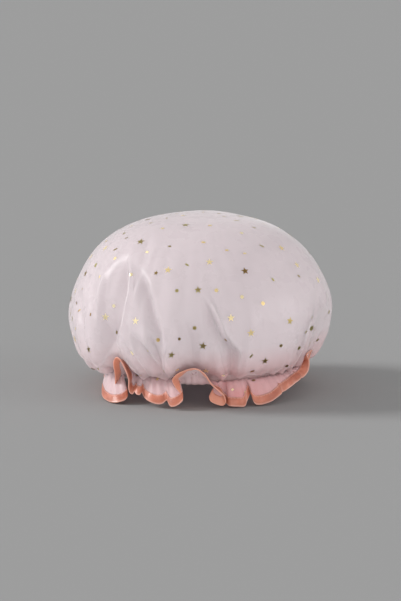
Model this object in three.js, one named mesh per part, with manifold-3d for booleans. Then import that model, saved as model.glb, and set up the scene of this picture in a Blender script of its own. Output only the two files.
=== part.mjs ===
// A double-layer shower cap, filled out as when it is worn and standing on its ruffle.
// Millimetres. +Z is up, the front is at -Y, and +X is the right side seen from the front.
// Two discs of film are gathered onto an elastic loop. The border below the loop is a ruffle,
// and a satin ribbon is folded over its cut edges.
import * as THREE from "three";
import Module from "manifold-3d";
import { mergeVertices } from "three/addons/utils/BufferGeometryUtils.js";

const wasm = await Module();
wasm.setup();

// Driving sizes of the filled cap
const CAP_WIDTH = 248;
const CAP_DEPTH = 238;
const CAP_HEIGHT = 168;
const LOOP_WIDTH = 178; // across the elastic loop, left to right
const LOOP_SHIFT = 3; // how far the loop lies to the right of the crown's middle
const SLUMP = 7; // how far the lower crown hangs down at its left end, and is drawn up at its right
const CHANNEL_FLOOR = 22; // from the surface up to the channel's lower edge
const CHANNEL_HEIGHT = 8; // the sewn channel that the elastic runs in
const RUFFLE_DROP = 24; // film from the channel's lower edge to its own cut edge

// The film and what lies between its two layers
const FILM = 0.4;
const RUFFLE_GAP = 0.45; // between the layers in the ruffle
const LOFT = 2.6; // between the layers in the crown
const CHANNEL_WAVE = 1.1; // how far the gathers push the channel in and out

// Folds of the crown: they begin, are full and run out at shares of the way down to the channel
const FOLD_HEIGHT = 6;
const FOLD_DRAW = 5; // how far a fold hangs down at the foot of the crown
const FOLD_TOP_SHARE = 0.35;
const FOLD_FULL_SHARE = 0.8;
const FOLD_FOOT_SHARE = 0.9;

// Creases that run down the crown: each deepens over this share of the way
const CREASE_DEPTH = 5;
const CREASE_RISE_SHARE = 0.16;

// The elastic, and the tack of zigzag thread that joins its ends at the back
const ELASTIC_WIDTH = 6;
const ELASTIC_THICKNESS = 0.8;
const ELASTIC_CLEARANCE = 0.35;
const TACK_THICKNESS = 0.4;
const TACK_CLEARANCE = 0.3;
const TACK_INSET = 0.8; // from the elastic's edges to the tack

// The ribbon, folded over both cut edges
const RIBBON_FACE = 8;
const RIBBON_THICKNESS = 0.5;
const RIBBON_CLEARANCE = 0.35;
const FLOOR_CUT = 0.5; // depth of the flat that the ribbon stands on

// Sewing thread
const THREAD = 0.5;
const THREAD_CLEARANCE = 0.35;
const RIBBON_THREAD_CLEARANCE = 0.6; // on the ribbon, whose faces twist more
const CHANNEL_SEAM_INSET = 0.7; // from the channel's edges to their seams
const RIBBON_SEAM_INSET = 1.2; // from the ribbon's upper edge to its seam

// The crown from its top to where it is widest, as shares of half the cap's width and of its height
const CROWN_SHARES = [
  [0, 1],
  [0.2, 0.994],
  [0.385, 0.974],
  [0.589, 0.909],
  [0.728, 0.835],
  [0.853, 0.726],
  [0.939, 0.613],
  [0.985, 0.51],
  [1, 0.43],
];

// The crown from there to the channel, as shares of the way out from the loop to the widest
// place and of the way up from the channel's lower edge to the crown's top
const BELLY_SHARES = [
  [0.947, 0.24],
  [0.806, 0.137],
  [0.61, 0.062],
  [0.397, 0.031],
];

// One row for each gather: its angle on the loop, from the front towards the right, how far
// the ruffle swings out from hanging straight down and how far its edge slips round, all in
// degrees, and the share of FOLD_HEIGHT by which the crown stands out above it.
const GATHERS = [
  [-91, 30, 0, 0.2],
  [-78, 34, 0, -0.4],
  [-65, 30, 2, 0.8],
  [-54, 102, 0, -1.2],
  [-44, 32, 0, 0.6],
  [-36, 60, 0, -0.5],
  [-26, 30, 0, 0.8],
  [-16, 34, 2, 0.9],
  [-8, 100, -2, -0.8],
  [2, 110, 0, -0.9],
  [10, 34, 0, 0.4],
  [16.5, 66, -1, -0.8],
  [23, 30, 0, 0.5],
  [30, 62, 0, -0.9],
  [38, 30, 0, 0.5],
  [50, 30, 0, 0.3],
  [61, 58, 0, -0.5],
  [74, 30, 0, 0.5],
  [88, 38, 0, 0.3],
  [100, 80, 0, -0.5],
  [113, 30, 0, 0.6],
  [125, 88, 0, -0.6],
  [138, 30, 0, 0.7],
  [150, 78, 0, -0.5],
  [162, 30, 0, 0.5],
  [174, 98, 0, -0.8],
  [187, 30, 0, 0.5],
  [200, 84, 0, -0.6],
  [213, 30, 0, 0.7],
  [226, 92, 0, -0.6],
  [240, 30, 0, 0.6],
  [255, 64, 0, -0.4],
];
const [ANGLE, SWING, SLIP, FOLD] = [0, 1, 2, 3];
const FULL_TURN = 360;

// One row for each crease of the crown: the share of the way down at which it begins, its angles
// there and where the folds run out, half its width in degrees, and its share of CREASE_DEPTH.
const CREASES = [
  [0.36, -52, -48, 10, 1],
  [0.42, -36, -13, 8, 0.8],
  [0.53, 0, 19, 8, 0.7],
  [0.48, -77, -58, 8, 0.6],
  [0.58, 66, 60, 8, 0.5],
  [0.5, 94, 84, 9, 0.7],
  [0.42, 110, 119, 9, 0.9],
  [0.5, 138, 130, 9, 0.7],
  [0.38, 154, 162, 9, 0.9],
  [0.45, 185, 176, 9, 0.8],
  [0.4, 204, 213, 9, 1],
  [0.5, 234, 226, 9, 0.7],
  [0.42, 254, 263, 9, 0.8],
];

// Columns round the cap: three to a gather at the loop, fewer towards the top
const STEPS_PER_GATHER = 3;
const COLUMNS = GATHERS.length * STEPS_PER_GATHER;
const HALF_COLUMNS = COLUMNS / 2;
const TOP_COLUMNS = COLUMNS / 4;
const BACK_GATHER = GATHERS.findIndex((gather) => gather[ANGLE] > FULL_TURN / 2);
const TACK_COLUMNS = [-1, 0, 1].map((step) => BACK_GATHER * STEPS_PER_GATHER + step);

const { lerp, smoothstep, degToRad, euclideanModulo } = THREE.MathUtils;
const LOOP_REACH = LOOP_WIDTH / 2;
const CAP_REACH = CAP_WIDTH / 2;
const crown = new THREE.SplineCurve([
  ...CROWN_SHARES.map(
    ([reach, height]) => new THREE.Vector2(reach * CAP_REACH, height * CAP_HEIGHT),
  ),
  ...BELLY_SHARES.map(
    ([out, up]) =>
      new THREE.Vector2(lerp(LOOP_REACH, CAP_REACH, out), lerp(CHANNEL_FLOOR, CAP_HEIGHT, up)),
  ),
  new THREE.Vector2(LOOP_REACH, CHANNEL_FLOOR + CHANNEL_HEIGHT),
]);

// A column of GATHERS at a share of the way round, as a smooth curve through its rows.
function gathered(column, share) {
  const place = share * GATHERS.length;
  const row = Math.floor(place);
  const [before, from, to, after] = [-1, 0, 1, 2].map((step) => {
    const turns = Math.floor((row + step) / GATHERS.length);
    const value = GATHERS[row + step - turns * GATHERS.length][column];
    return column === ANGLE ? value + turns * FULL_TURN : value;
  });
  const t = place - row;
  const bend = 2 * before - 5 * from + 4 * to - after + t * (3 * (from - to) + after - before);
  return from + (t * (to - before + t * bend)) / 2;
}

// The point at a reach from an upright axis and an angle from the front.
function roundPoint(reach, angle, height, axis = LOOP_SHIFT) {
  const turn = degToRad(angle);
  return new THREE.Vector3(
    reach * Math.sin(turn) + axis,
    (-reach * Math.cos(turn) * CAP_DEPTH) / CAP_WIDTH,
    height,
  );
}

// How far the creases sink the crown at an angle and a way down.
function creaseDepth(angle, way) {
  const sunk = CREASES.map(([start, head, foot, width, share]) => {
    const middle = lerp(head, foot, (way - start) / (FOLD_FOOT_SHARE - start));
    const away = euclideanModulo(angle - middle + FULL_TURN / 2, FULL_TURN) - FULL_TURN / 2;
    const wall = 1 - smoothstep(Math.abs(away), 0, width);
    return share * wall * smoothstep(way, start, start + CREASE_RISE_SHARE);
  });
  return CREASE_DEPTH * sunk.reduce((total, each) => total + each, 0);
}

// The outer film's face in the crown. way is 0 at the top and 1 at the channel.
function crownPoint(share, way) {
  const { x: reach, y: height } = crown.getPointAt(way);
  const even = gathered(ANGLE, 0) + share * FULL_TURN;
  const angle = lerp(even, gathered(ANGLE, share), Math.sqrt(way));
  const rise = smoothstep(way, FOLD_TOP_SHARE, FOLD_FULL_SHARE);
  const settle = smoothstep(way, FOLD_FOOT_SHARE, 1);
  const fold = lerp(FOLD_HEIGHT * rise, CHANNEL_WAVE, settle);
  const axis = LOOP_SHIFT * settle;
  const crease = creaseDepth(angle, way) * (1 - settle);
  const swell = fold * gathered(FOLD, share) - crease;
  const point = roundPoint(reach + swell, angle, height, axis);
  const slump = (SLUMP * point.x) / CAP_REACH - FOLD_DRAW * gathered(FOLD, share);
  point.z += slump * rise * (1 - settle);
  return point;
}

// The outer film's face in the channel. way is 0 at its upper edge and 1 at its lower edge.
function channelPoint(share, way) {
  const reach = LOOP_REACH + CHANNEL_WAVE * gathered(FOLD, share);
  const height = CHANNEL_FLOOR + CHANNEL_HEIGHT * (1 - way);
  return roundPoint(reach, gathered(ANGLE, share), height);
}

// The least swing of the ruffle, in radians: the surface that the cap stands on pushes a
// hanging lobe outwards, until the ribbon's inner corner is as low as the flat is cut.
const LINER_DEPTH = FILM + RUFFLE_GAP;
const RIBBON_DEPTH = LINER_DEPTH + FILM + RIBBON_CLEARANCE + RIBBON_THICKNESS;
const RUFFLE_LENGTH = RUFFLE_DROP + RIBBON_CLEARANCE + RIBBON_THICKNESS;
const CORNER_REACH = Math.hypot(RUFFLE_LENGTH, RIBBON_DEPTH);
const LEAST_SWING =
  Math.atan2(RIBBON_DEPTH, RUFFLE_LENGTH) +
  Math.acos(Math.min(1, (CHANNEL_FLOOR + FLOOR_CUT) / CORNER_REACH));

// The outer film's face in the ruffle, down is the length of film below the channel.
function rufflePoint(share, down) {
  const foot = channelPoint(share, 1);
  const swing = Math.max(degToRad(gathered(SWING, share)), LEAST_SWING);
  const reach = LOOP_REACH + RUFFLE_DROP * Math.sin(swing);
  const angle = gathered(ANGLE, share) + gathered(SLIP, share);
  const edge = roundPoint(reach, angle, foot.z - RUFFLE_DROP * Math.cos(swing));
  return foot.lerp(edge, down / RUFFLE_DROP);
}

// A point on the outer film's face at a distance from the channel's upper edge:
// below zero in the crown, then down the channel and the ruffle.
const CROWN_LENGTH = crown.getLength();
function filmPoint(share, distance) {
  if (distance <= 0) return crownPoint(share, Math.max(0, 1 + distance / CROWN_LENGTH));
  if (distance <= CHANNEL_HEIGHT) return channelPoint(share, distance / CHANNEL_HEIGHT);
  return rufflePoint(share, distance - CHANNEL_HEIGHT);
}

// The film's outward direction, from points a little to each side. Where the film turns a
// corner the direction is lengthened, so that its layers stay as thick on both sides.
const NEARBY = 0.5;
const NEARBY_SHARE = NEARBY / (Math.PI * LOOP_WIDTH);
const LONGEST_MITRE = 1.8;
function filmNormal(share, distance) {
  const here = filmPoint(share, distance);
  const above = here.clone().sub(filmPoint(share, distance - NEARBY)).normalize();
  const below = filmPoint(share, distance + NEARBY).sub(here).normalize();
  const along = filmPoint(share + NEARBY_SHARE, distance).sub(
    filmPoint(share - NEARBY_SHARE, distance),
  );
  const halfTurn = above.angleTo(below) / 2;
  const mitre = Math.min(LONGEST_MITRE, 1 / Math.cos(halfTurn));
  return above.add(below).cross(along).normalize().multiplyScalar(mitre);
}

// A closed ring of points at one distance down the film and one depth behind its outer face.
function ring(distance, depth, columns = COLUMNS) {
  const points = Array.from({ length: columns }, (_, column) => {
    const share = column / columns;
    return filmPoint(share, distance).addScaledVector(filmNormal(share, distance), -depth);
  });
  return { points, distance };
}

// The single point at the top of the crown.
const top = (depth) => ({
  points: [new THREE.Vector3(0, 0, CAP_HEIGHT - depth)],
  distance: -CROWN_LENGTH,
});

// Triangles between two rings that have as many points, or one of them half as many or one.
// Whichever way they are joined, a diagonal runs from the upper ring to the lower one.
function joinRings(from, to, triangles) {
  const [a, b] = [from.points, to.points];
  const wide = Math.max(a.length, b.length);
  const pick = (points, column) => points[Math.floor((column * points.length) / wide) % points.length];
  const downwards = to.distance >= from.distance;
  for (let column = 0; column < wide; column++) {
    const next = column + 1;
    const corners = [pick(a, column), pick(b, column), pick(b, next), pick(a, next)];
    const halves = downwards ? [[0, 1, 2], [0, 2, 3]] : [[0, 1, 3], [3, 1, 2]];
    for (const half of halves) {
      const points = half.map((corner) => corners[corner]);
      if (new Set(points).size === points.length) triangles.push(...points);
    }
  }
}

function geometryOf(triangles) {
  return new THREE.BufferGeometry().setFromPoints(triangles);
}

// A body whose section is a list of rings: closed on itself, or ending at the top at both ends.
function bodyOf(rings) {
  const triangles = [];
  rings.slice(1).forEach((next, index) => joinRings(rings[index], next, triangles));
  if (rings[0].points.length > 1) joinRings(rings.at(-1), rings[0], triangles);
  return geometryOf(triangles);
}

// A band round the cap, between two distances down the film and two depths behind its face.
function band(upper, lower, outer, inner) {
  return bodyOf([
    ring(upper, outer),
    ring(lower, outer),
    ring(lower, inner),
    ring(upper, inner),
  ]);
}

// Distances down the film that its pieces share
const CROWN_ROW_SHARES = [
  [0.21, TOP_COLUMNS],
  [0.36, HALF_COLUMNS],
  [0.5, COLUMNS],
  [0.64, COLUMNS],
  [0.78, COLUMNS],
  [0.93, COLUMNS],
];
const EDGE = CHANNEL_HEIGHT + RUFFLE_DROP;
const RIBBON_TOP = EDGE - RIBBON_FACE;
const TACK_DEPTH = FILM + TACK_CLEARANCE;
const ELASTIC_DEPTH = TACK_DEPTH + TACK_THICKNESS + TACK_CLEARANCE;
const CHANNEL_DEPTH = ELASTIC_DEPTH + ELASTIC_THICKNESS + ELASTIC_CLEARANCE;

// One film, from the top of the crown to its cut edge and back up its inner face.
function film(crownDepth, channelDepth, ruffleDepth) {
  const rows = [
    ...CROWN_ROW_SHARES.map(([way, columns]) => [(way - 1) * CROWN_LENGTH, crownDepth, columns]),
    [0, channelDepth, COLUMNS],
    [CHANNEL_HEIGHT, channelDepth, COLUMNS],
    [RIBBON_TOP, ruffleDepth, COLUMNS],
    [EDGE, ruffleDepth, COLUMNS],
  ];
  const face = (thickness) =>
    rows.map(([distance, depth, columns]) => ring(distance, depth + thickness, columns));
  return bodyOf([top(crownDepth), ...face(0), ...face(FILM).reverse(), top(crownDepth + FILM)]);
}

// The ribbon: a channel of U section over the cut edges of both films.
function ribbon() {
  const inside = RIBBON_DEPTH - RIBBON_THICKNESS;
  const fold = EDGE + RIBBON_CLEARANCE;
  return bodyOf([
    ring(RIBBON_TOP, -RIBBON_CLEARANCE - RIBBON_THICKNESS),
    ring(fold + RIBBON_THICKNESS, -RIBBON_CLEARANCE - RIBBON_THICKNESS),
    ring(fold + RIBBON_THICKNESS, RIBBON_DEPTH),
    ring(RIBBON_TOP, RIBBON_DEPTH),
    ring(RIBBON_TOP, inside),
    ring(fold, inside),
    ring(fold, -RIBBON_CLEARANCE),
    ring(RIBBON_TOP, -RIBBON_CLEARANCE),
  ]);
}

// The tack: a patch of zigzag thread on the elastic's outer face, at the middle of the back.
function tack(elasticTop, elasticFoot) {
  const corner = (share, distance, depth) =>
    filmPoint(share, distance).addScaledVector(filmNormal(share, distance), -depth);
  const loop = (share) => {
    const [upper, lower] = [elasticTop + TACK_INSET, elasticFoot - TACK_INSET];
    return [
      corner(share, upper, TACK_DEPTH),
      corner(share, lower, TACK_DEPTH),
      corner(share, lower, TACK_DEPTH + TACK_THICKNESS),
      corner(share, upper, TACK_DEPTH + TACK_THICKNESS),
    ];
  };
  const loops = TACK_COLUMNS.map((column) => loop(column / COLUMNS));
  const triangles = [];
  for (let index = 1; index < loops.length; index++) {
    const [near, far] = [loops[index - 1], loops[index]];
    near.forEach((point, side) => {
      const turn = (side + 1) % near.length;
      triangles.push(point, near[turn], far[turn], point, far[turn], far[side]);
    });
  }
  const [first, last] = [loops[0], loops.at(-1)];
  triangles.push(first[0], first[3], first[2], first[0], first[2], first[1]);
  triangles.push(last[0], last[1], last[2], last[0], last[2], last[3]);
  return geometryOf(triangles);
}

// A row of thread along the film, on one side of what it sews.
const seam = (distance, depth) =>
  band(distance - THREAD / 2, distance + THREAD / 2, depth, depth + THREAD);

// A merged three.js geometry as a solid, for cutting.
function solidOf(geometry) {
  const bare = mergeVertices(geometry.clone().deleteAttribute("normal").deleteAttribute("uv"));
  return new wasm.Manifold(
    new wasm.Mesh({
      numProp: 3,
      vertProperties: bare.attributes.position.array,
      triVerts: new Uint32Array(bare.index.array),
    }),
  );
}

function geometryFrom(solid) {
  const { vertProperties, triVerts } = solid.getMesh();
  return new THREE.BufferGeometry()
    .setAttribute("position", new THREE.BufferAttribute(vertProperties, 3))
    .setIndex(new THREE.BufferAttribute(triVerts, 1));
}

// What is left of a piece above the surface that the cap stands on.
function standing(geometry) {
  const slab = new THREE.BoxGeometry(2 * CAP_WIDTH, 2 * CAP_WIDTH, CAP_HEIGHT);
  slab.translate(0, 0, -CAP_HEIGHT / 2);
  return geometryFrom(solidOf(geometry).subtract(solidOf(slab)));
}

const cap = new THREE.Group();

function add(name, geometry, color, roughness, opacity = 1) {
  geometry.computeVertexNormals();
  const material = new THREE.MeshStandardMaterial({ color, roughness, metalness: 0 });
  material.opacity = opacity;
  material.transparent = opacity < 1;
  const mesh = new THREE.Mesh(geometry, material);
  mesh.name = name;
  cap.add(mesh);
}

const SHEER_PINK = 0xf0e2e6;
const LINER_WHITE = 0xefe6ea;
const SATIN_CORAL = 0xe59a86;
const ELASTIC_WHITE = 0xf4f1ef;
const THREAD_PINK = 0xe8b3a6;

add("outer_film", film(0, 0, 0), SHEER_PINK, 0.45, 0.6);
add("inner_liner", film(FILM + LOFT, CHANNEL_DEPTH, LINER_DEPTH), LINER_WHITE, 0.4, 0.8);
add("satin_ribbon", standing(ribbon()), SATIN_CORAL, 0.35);

const elasticTop = (CHANNEL_HEIGHT - ELASTIC_WIDTH) / 2;
const elasticFoot = elasticTop + ELASTIC_WIDTH;
const elastic = band(elasticTop, elasticFoot, ELASTIC_DEPTH, ELASTIC_DEPTH + ELASTIC_THICKNESS);
add("elastic_loop", elastic, ELASTIC_WHITE, 0.9);
add("elastic_join_tack", tack(elasticTop, elasticFoot), THREAD_PINK, 0.6);

// Each lockstitch row has a needle thread outside and a bobbin thread inside.
const channelBack = CHANNEL_DEPTH + FILM;
const SEAMS = [
  ["channel_upper", CHANNEL_SEAM_INSET, 0, channelBack, THREAD_CLEARANCE],
  ["channel_lower", CHANNEL_HEIGHT - CHANNEL_SEAM_INSET, 0, channelBack, THREAD_CLEARANCE],
  [
    "ribbon",
    RIBBON_TOP + RIBBON_SEAM_INSET,
    -RIBBON_CLEARANCE - RIBBON_THICKNESS,
    RIBBON_DEPTH,
    RIBBON_THREAD_CLEARANCE,
  ],
];
for (const [name, distance, front, back, clearance] of SEAMS) {
  add(`${name}_needle_thread`, seam(distance, front - clearance - THREAD), THREAD_PINK, 0.6);
  add(`${name}_bobbin_thread`, seam(distance, back + clearance), THREAD_PINK, 0.6);
}

export default cap;
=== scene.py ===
import math

import bpy
import numpy as np
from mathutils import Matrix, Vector
from mathutils.bvhtree import BVHTree


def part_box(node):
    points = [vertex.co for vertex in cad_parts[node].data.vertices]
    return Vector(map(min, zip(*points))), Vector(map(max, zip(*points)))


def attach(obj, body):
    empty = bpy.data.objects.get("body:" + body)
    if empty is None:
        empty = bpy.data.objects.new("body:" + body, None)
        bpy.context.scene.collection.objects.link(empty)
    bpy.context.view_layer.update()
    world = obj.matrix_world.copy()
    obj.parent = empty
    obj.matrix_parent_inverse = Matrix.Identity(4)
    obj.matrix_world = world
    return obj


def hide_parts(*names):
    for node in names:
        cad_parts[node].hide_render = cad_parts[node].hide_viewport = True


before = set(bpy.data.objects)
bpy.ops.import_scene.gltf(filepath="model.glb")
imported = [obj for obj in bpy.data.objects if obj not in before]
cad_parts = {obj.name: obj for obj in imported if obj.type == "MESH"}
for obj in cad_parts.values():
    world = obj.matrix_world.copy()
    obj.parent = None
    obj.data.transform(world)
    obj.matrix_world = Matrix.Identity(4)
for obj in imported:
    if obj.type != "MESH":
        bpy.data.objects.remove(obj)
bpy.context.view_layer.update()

# A double-layer shower cap that stands filled out on its ruffle.
# The script's own sizes are millimetres. Angles go round the elastic loop from the front
# towards the right, and distances go down the film from the top of the crown.
MM = 0.001


def box_of(node):
    low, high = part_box(node)
    return np.array(low) / MM, np.array(high) / MM


elastic_low, elastic_high = box_of("elastic_loop")
tack_low, tack_high = box_of("elastic_join_tack")

# Sizes taken from the frame, and how far the elastic lies inside its channel
ELASTIC_DEPTH = 1.4
ELASTIC_MARGIN = 1.0
LOOP_MIDDLE = (elastic_low[0] + elastic_high[0]) / 2
LOOP_REACH = (elastic_high[0] - elastic_low[0]) / 2 + ELASTIC_DEPTH
CHANNEL_FLOOR = elastic_low[2] - ELASTIC_MARGIN
CHANNEL_TOP = elastic_high[2] + ELASTIC_MARGIN
CAP_HEIGHT = box_of("outer_film")[1][2]

# Sizes of the crown without its folds
CAP_REACH = 124.0
DEPTH_SHARE = 0.96
SLUMP = 7.0

# Sizes of the sewn parts
RIBBON_FACE = 8.0
RIBBON_THICKNESS = 0.16
FILM_THICKNESS = 0.14
CROWN_GAP = 3.0
CHANNEL_GAP = 2.6
RUFFLE_GAP = 0.42
STITCH_LENGTH = 2.4
STITCH_GAP = 0.55
THREAD_RADIUS = 0.17

# The camera sees the cap from a little above, straight from the front
PICTURE_MIDDLE = np.array([200.5, 300.5])
PICTURE_HEIGHT = 601
PIXEL = 0.943
CAMERA_DISTANCE = 3000.0
CAMERA_ELEVATION = math.radians(10)
TARGET_HEIGHT = 83.2
SENSOR = 36.0
CLIP_NEAR, CLIP_FAR = 0.1, 100
AHEAD = np.array([0, math.cos(CAMERA_ELEVATION), -math.sin(CAMERA_ELEVATION)])
UPWARDS = np.array([0, math.sin(CAMERA_ELEVATION), math.cos(CAMERA_ELEVATION)])
RIGHTWARDS = np.array([1.0, 0, 0])
CAMERA = np.array([0, 0, TARGET_HEIGHT]) - AHEAD * CAMERA_DISTANCE

# The hem stands at least this far above the floor, to leave room for the ribbon, and the rest of
# the ruffle at least a little less
LEAST_HEIGHT = 0.75
RUFFLE_FLOOR = LEAST_HEIGHT * 0.8


def new_object(name, data):
    made = bpy.data.objects.new(name, data)
    bpy.context.scene.collection.objects.link(made)
    return made


def make_camera():
    data = bpy.data.cameras.new("camera")
    data.sensor_width = SENSOR
    data.lens = SENSOR * CAMERA_DISTANCE / (PICTURE_HEIGHT * PIXEL)
    data.clip_start, data.clip_end = CLIP_NEAR, CLIP_FAR
    camera = new_object("camera", data)
    camera.location = CAMERA * MM
    camera.rotation_euler = (math.pi / 2 - CAMERA_ELEVATION, 0, 0)
    bpy.context.scene.camera = camera


def smoothstep(value, start, end):
    share = np.clip((value - start) / (end - start), 0, 1)
    return share * share * (3 - 2 * share)


def unit(vectors):
    return vectors / np.maximum(np.linalg.norm(vectors, axis=-1, keepdims=True), 1e-9)


def to_picture(points):
    """The pixels at which the camera sees some points."""
    away = points - CAMERA
    scale = CAMERA_DISTANCE / PIXEL / (away @ AHEAD)
    across = PICTURE_MIDDLE[0] + (away @ RIGHTWARDS) * scale
    down = PICTURE_MIDDLE[1] - (away @ UPWARDS) * scale
    return across, down


def sight_line(across, down):
    """The direction from the camera through a pixel."""
    offset = np.array([across, down]) - PICTURE_MIDDLE
    return unit(
        AHEAD * CAMERA_DISTANCE + RIGHTWARDS * offset[0] * PIXEL - UPWARDS * offset[1] * PIXEL
    )


def seen(across, down, reach):
    """Where the line through a pixel meets the upright cylinder of a reach round the loop."""
    line = sight_line(across, down)
    squeeze = np.array([1, 1 / DEPTH_SHARE])
    start = (CAMERA[:2] - [LOOP_MIDDLE, 0]) * squeeze
    step = line[:2] * squeeze
    a, b, c = step @ step, 2 * start @ step, start @ start - reach * reach
    root = math.sqrt(max(0, b * b - 4 * a * c))
    return CAMERA + line * (-b - root) / (2 * a)


def round_loop(turn, reach, height, middle=LOOP_MIDDLE):
    """Points at some turns round the loop, whose depth is less than its width."""
    x = reach * np.sin(turn) + middle
    return np.stack([x, -reach * np.cos(turn) * DEPTH_SHARE, height + 0 * x], axis=-1)


def half_turn(angle):
    """An angle brought to between -180 and 180."""
    return (angle + 180) % 360 - 180


def spline(points, places, steps=24):
    """A smooth curve through points, at places that are shares of its length."""
    p = np.vstack([2 * points[0] - points[1], points, 2 * points[-1] - points[-2]])
    t = np.linspace(0, 1, steps, endpoint=False)[:, None]
    parts = []
    for before, start, end, after in zip(p, p[1:], p[2:], p[3:]):
        bend = 2 * before - 5 * start + 4 * end - after + t * (3 * (start - end) + after - before)
        parts.append(start + t * (end - before + t * bend) / 2)
    line = np.vstack([*parts, points[-1:]])
    length = np.concatenate([[0], np.cumsum(np.linalg.norm(np.diff(line, axis=0), axis=1))])
    return np.stack([np.interp(places * length[-1], length, axis) for axis in line.T], axis=1)


# The crown's section: shares of the reach and height, then from the loop outwards and upwards
CROWN_SHARES = [
    (0, 0.975),
    (0.2, 0.974),
    (0.385, 0.961),
    (0.589, 0.906),
    (0.728, 0.835),
    (0.853, 0.726),
    (0.939, 0.613),
    (0.985, 0.51),
    (1, 0.43),
]
BELLY_SHARES = [(0.955, 0.25), (0.83, 0.15), (0.62, 0.08), (0.38, 0.045), (0.15, 0.042)]


def crown_section(ways):
    """Reach and height of the crown at shares of the way down, from its top to the channel."""
    upper = [(reach * CAP_REACH, height * CAP_HEIGHT) for reach, height in CROWN_SHARES]
    lower = [
        (
            LOOP_REACH + out * (CAP_REACH - LOOP_REACH),
            CHANNEL_FLOOR + up * (CAP_HEIGHT - CHANNEL_FLOOR),
        )
        for out, up in BELLY_SHARES
    ]
    return spline(np.array([*upper, *lower, (LOOP_REACH, CHANNEL_TOP)]), ways).T


# The hem's edge in front, from left to right: the pixel where it is seen, its reach from the
# loop's middle, and the angle of the loop at which its film is gathered
HEM_SEEN = [
    (102.5, 391.4, 104.5, -68.5), (102, 394.2, 109.5, -66.5), (104.2, 398, 113, -64.5),
    (109.5, 401.1, 116, -62), (115, 401.8, 116.5, -59.5), (120.5, 400.8, 115, -57.5),
    (125, 399, 112, -55.5), (127.8, 395.3, 107.5, -54.2), (125.5, 391, 102, -53.2),
    (120, 388.6, 100.5, -52.4), (116, 386.5, 103.5, -51.6), (115.3, 381, 107.5, -50.8),
    (115.2, 375, 110.5, -50), (113.9, 367, 114, -49.2), (113.8, 361.5, 115.5, -48.3),
    (116.2, 357.4, 116, -47.3), (119.3, 358.4, 116, -46.2), (122, 362, 115.5, -45.2),
    (125.3, 368.5, 115, -44), (127.8, 375, 114, -42.8), (129.2, 381, 112.5, -41.8),
    (129, 387, 111, -41), (130, 392, 110, -40.2), (132.4, 393.6, 108.5, -39.4),
    (134.4, 391, 108.5, -38.6), (136.6, 393.8, 110.5, -37.6), (140.2, 394, 110, -36.6),
    (142.2, 391.5, 107, -35.8), (143.6, 395.8, 107, -34.8), (147, 399.4, 109, -32.8),
    (152, 402, 110.5, -30.4), (157.5, 403.4, 111, -28), (162.5, 402.8, 110.5, -25.6),
    (166.6, 399.6, 109, -23.6), (168, 402, 112, -22), (170.5, 405.8, 114.5, -20.2),
    (175.2, 405.5, 115.5, -18.4), (180, 402.4, 115, -16.6), (183, 398.6, 113, -15.2),
    (181.7, 394.8, 110, -14), (178.7, 391, 108, -13), (175.8, 387.3, 107, -12),
    (173.5, 383.5, 107.5, -11.2), (172.4, 380.2, 109, -10.4), (174.2, 376.8, 111, -9.6),
    (178.5, 373.3, 112.5, -8.6), (183.5, 370.9, 113.5, -7.4), (188.5, 369.2, 114, -6.2),
    (193.5, 368.4, 114.5, -4.9), (199, 369.9, 114.5, -3.4), (203.8, 373.1, 114, -1.9),
    (207.4, 377.2, 113, -0.6), (210.8, 383.1, 112, 0.8), (215.2, 387.6, 111, 2.4),
    (220.4, 391.9, 109.5, 4.2), (224.4, 396, 107.5, 6), (225.6, 401.5, 105, 7.2),
    (223, 405, 103.5, 8), (217, 403.9, 102.5, 8.8), (210.6, 400.6, 102, 9.6),
    (209.8, 396, 100.5, 10.2), (213.5, 395, 98.5, 10.8), (220, 399.5, 98, 11.4),
    (226.4, 403, 100, 12.1), (228.6, 405.2, 103.5, 12.8), (232, 405.6, 105.5, 13.9),
    (238, 405.9, 106.5, 16), (244.6, 405.6, 106.5, 18.6), (247, 400.8, 105, 20.3),
    (248.8, 396.2, 101.5, 21.6), (250.4, 393.3, 98.5, 22.8), (251.8, 396.2, 101.5, 24),
    (253.2, 400.5, 104.5, 25.2), (256, 403.6, 106, 26.8), (261.5, 403.8, 107, 29.5),
    (267, 402.4, 107.5, 32.4), (272, 400.4, 108, 35.2), (277, 396.9, 108, 38),
    (281.2, 393.4, 108, 40.4), (281.9, 391.5, 106.3, 41.4), (280.4, 391, 104.8, 42.1),
    (282.4, 391.4, 104.2, 42.9), (286.5, 389.1, 105.5, 45.3), (291, 385.9, 106, 48.1),
    (295.8, 382, 106.3, 51.2), (300.2, 378.4, 106.5, 54), (301.2, 376.5, 106, 55.2),
    (299.9, 375.8, 104.5, 56), (301.8, 377.3, 104, 57), (304.8, 375, 105.5, 59.5),
    (307.7, 370.6, 106.5, 62.5), (308.7, 365.2, 107, 65.6), (308.4, 359.5, 107, 69),
    (306.4, 354, 107, 72),
]

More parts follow.
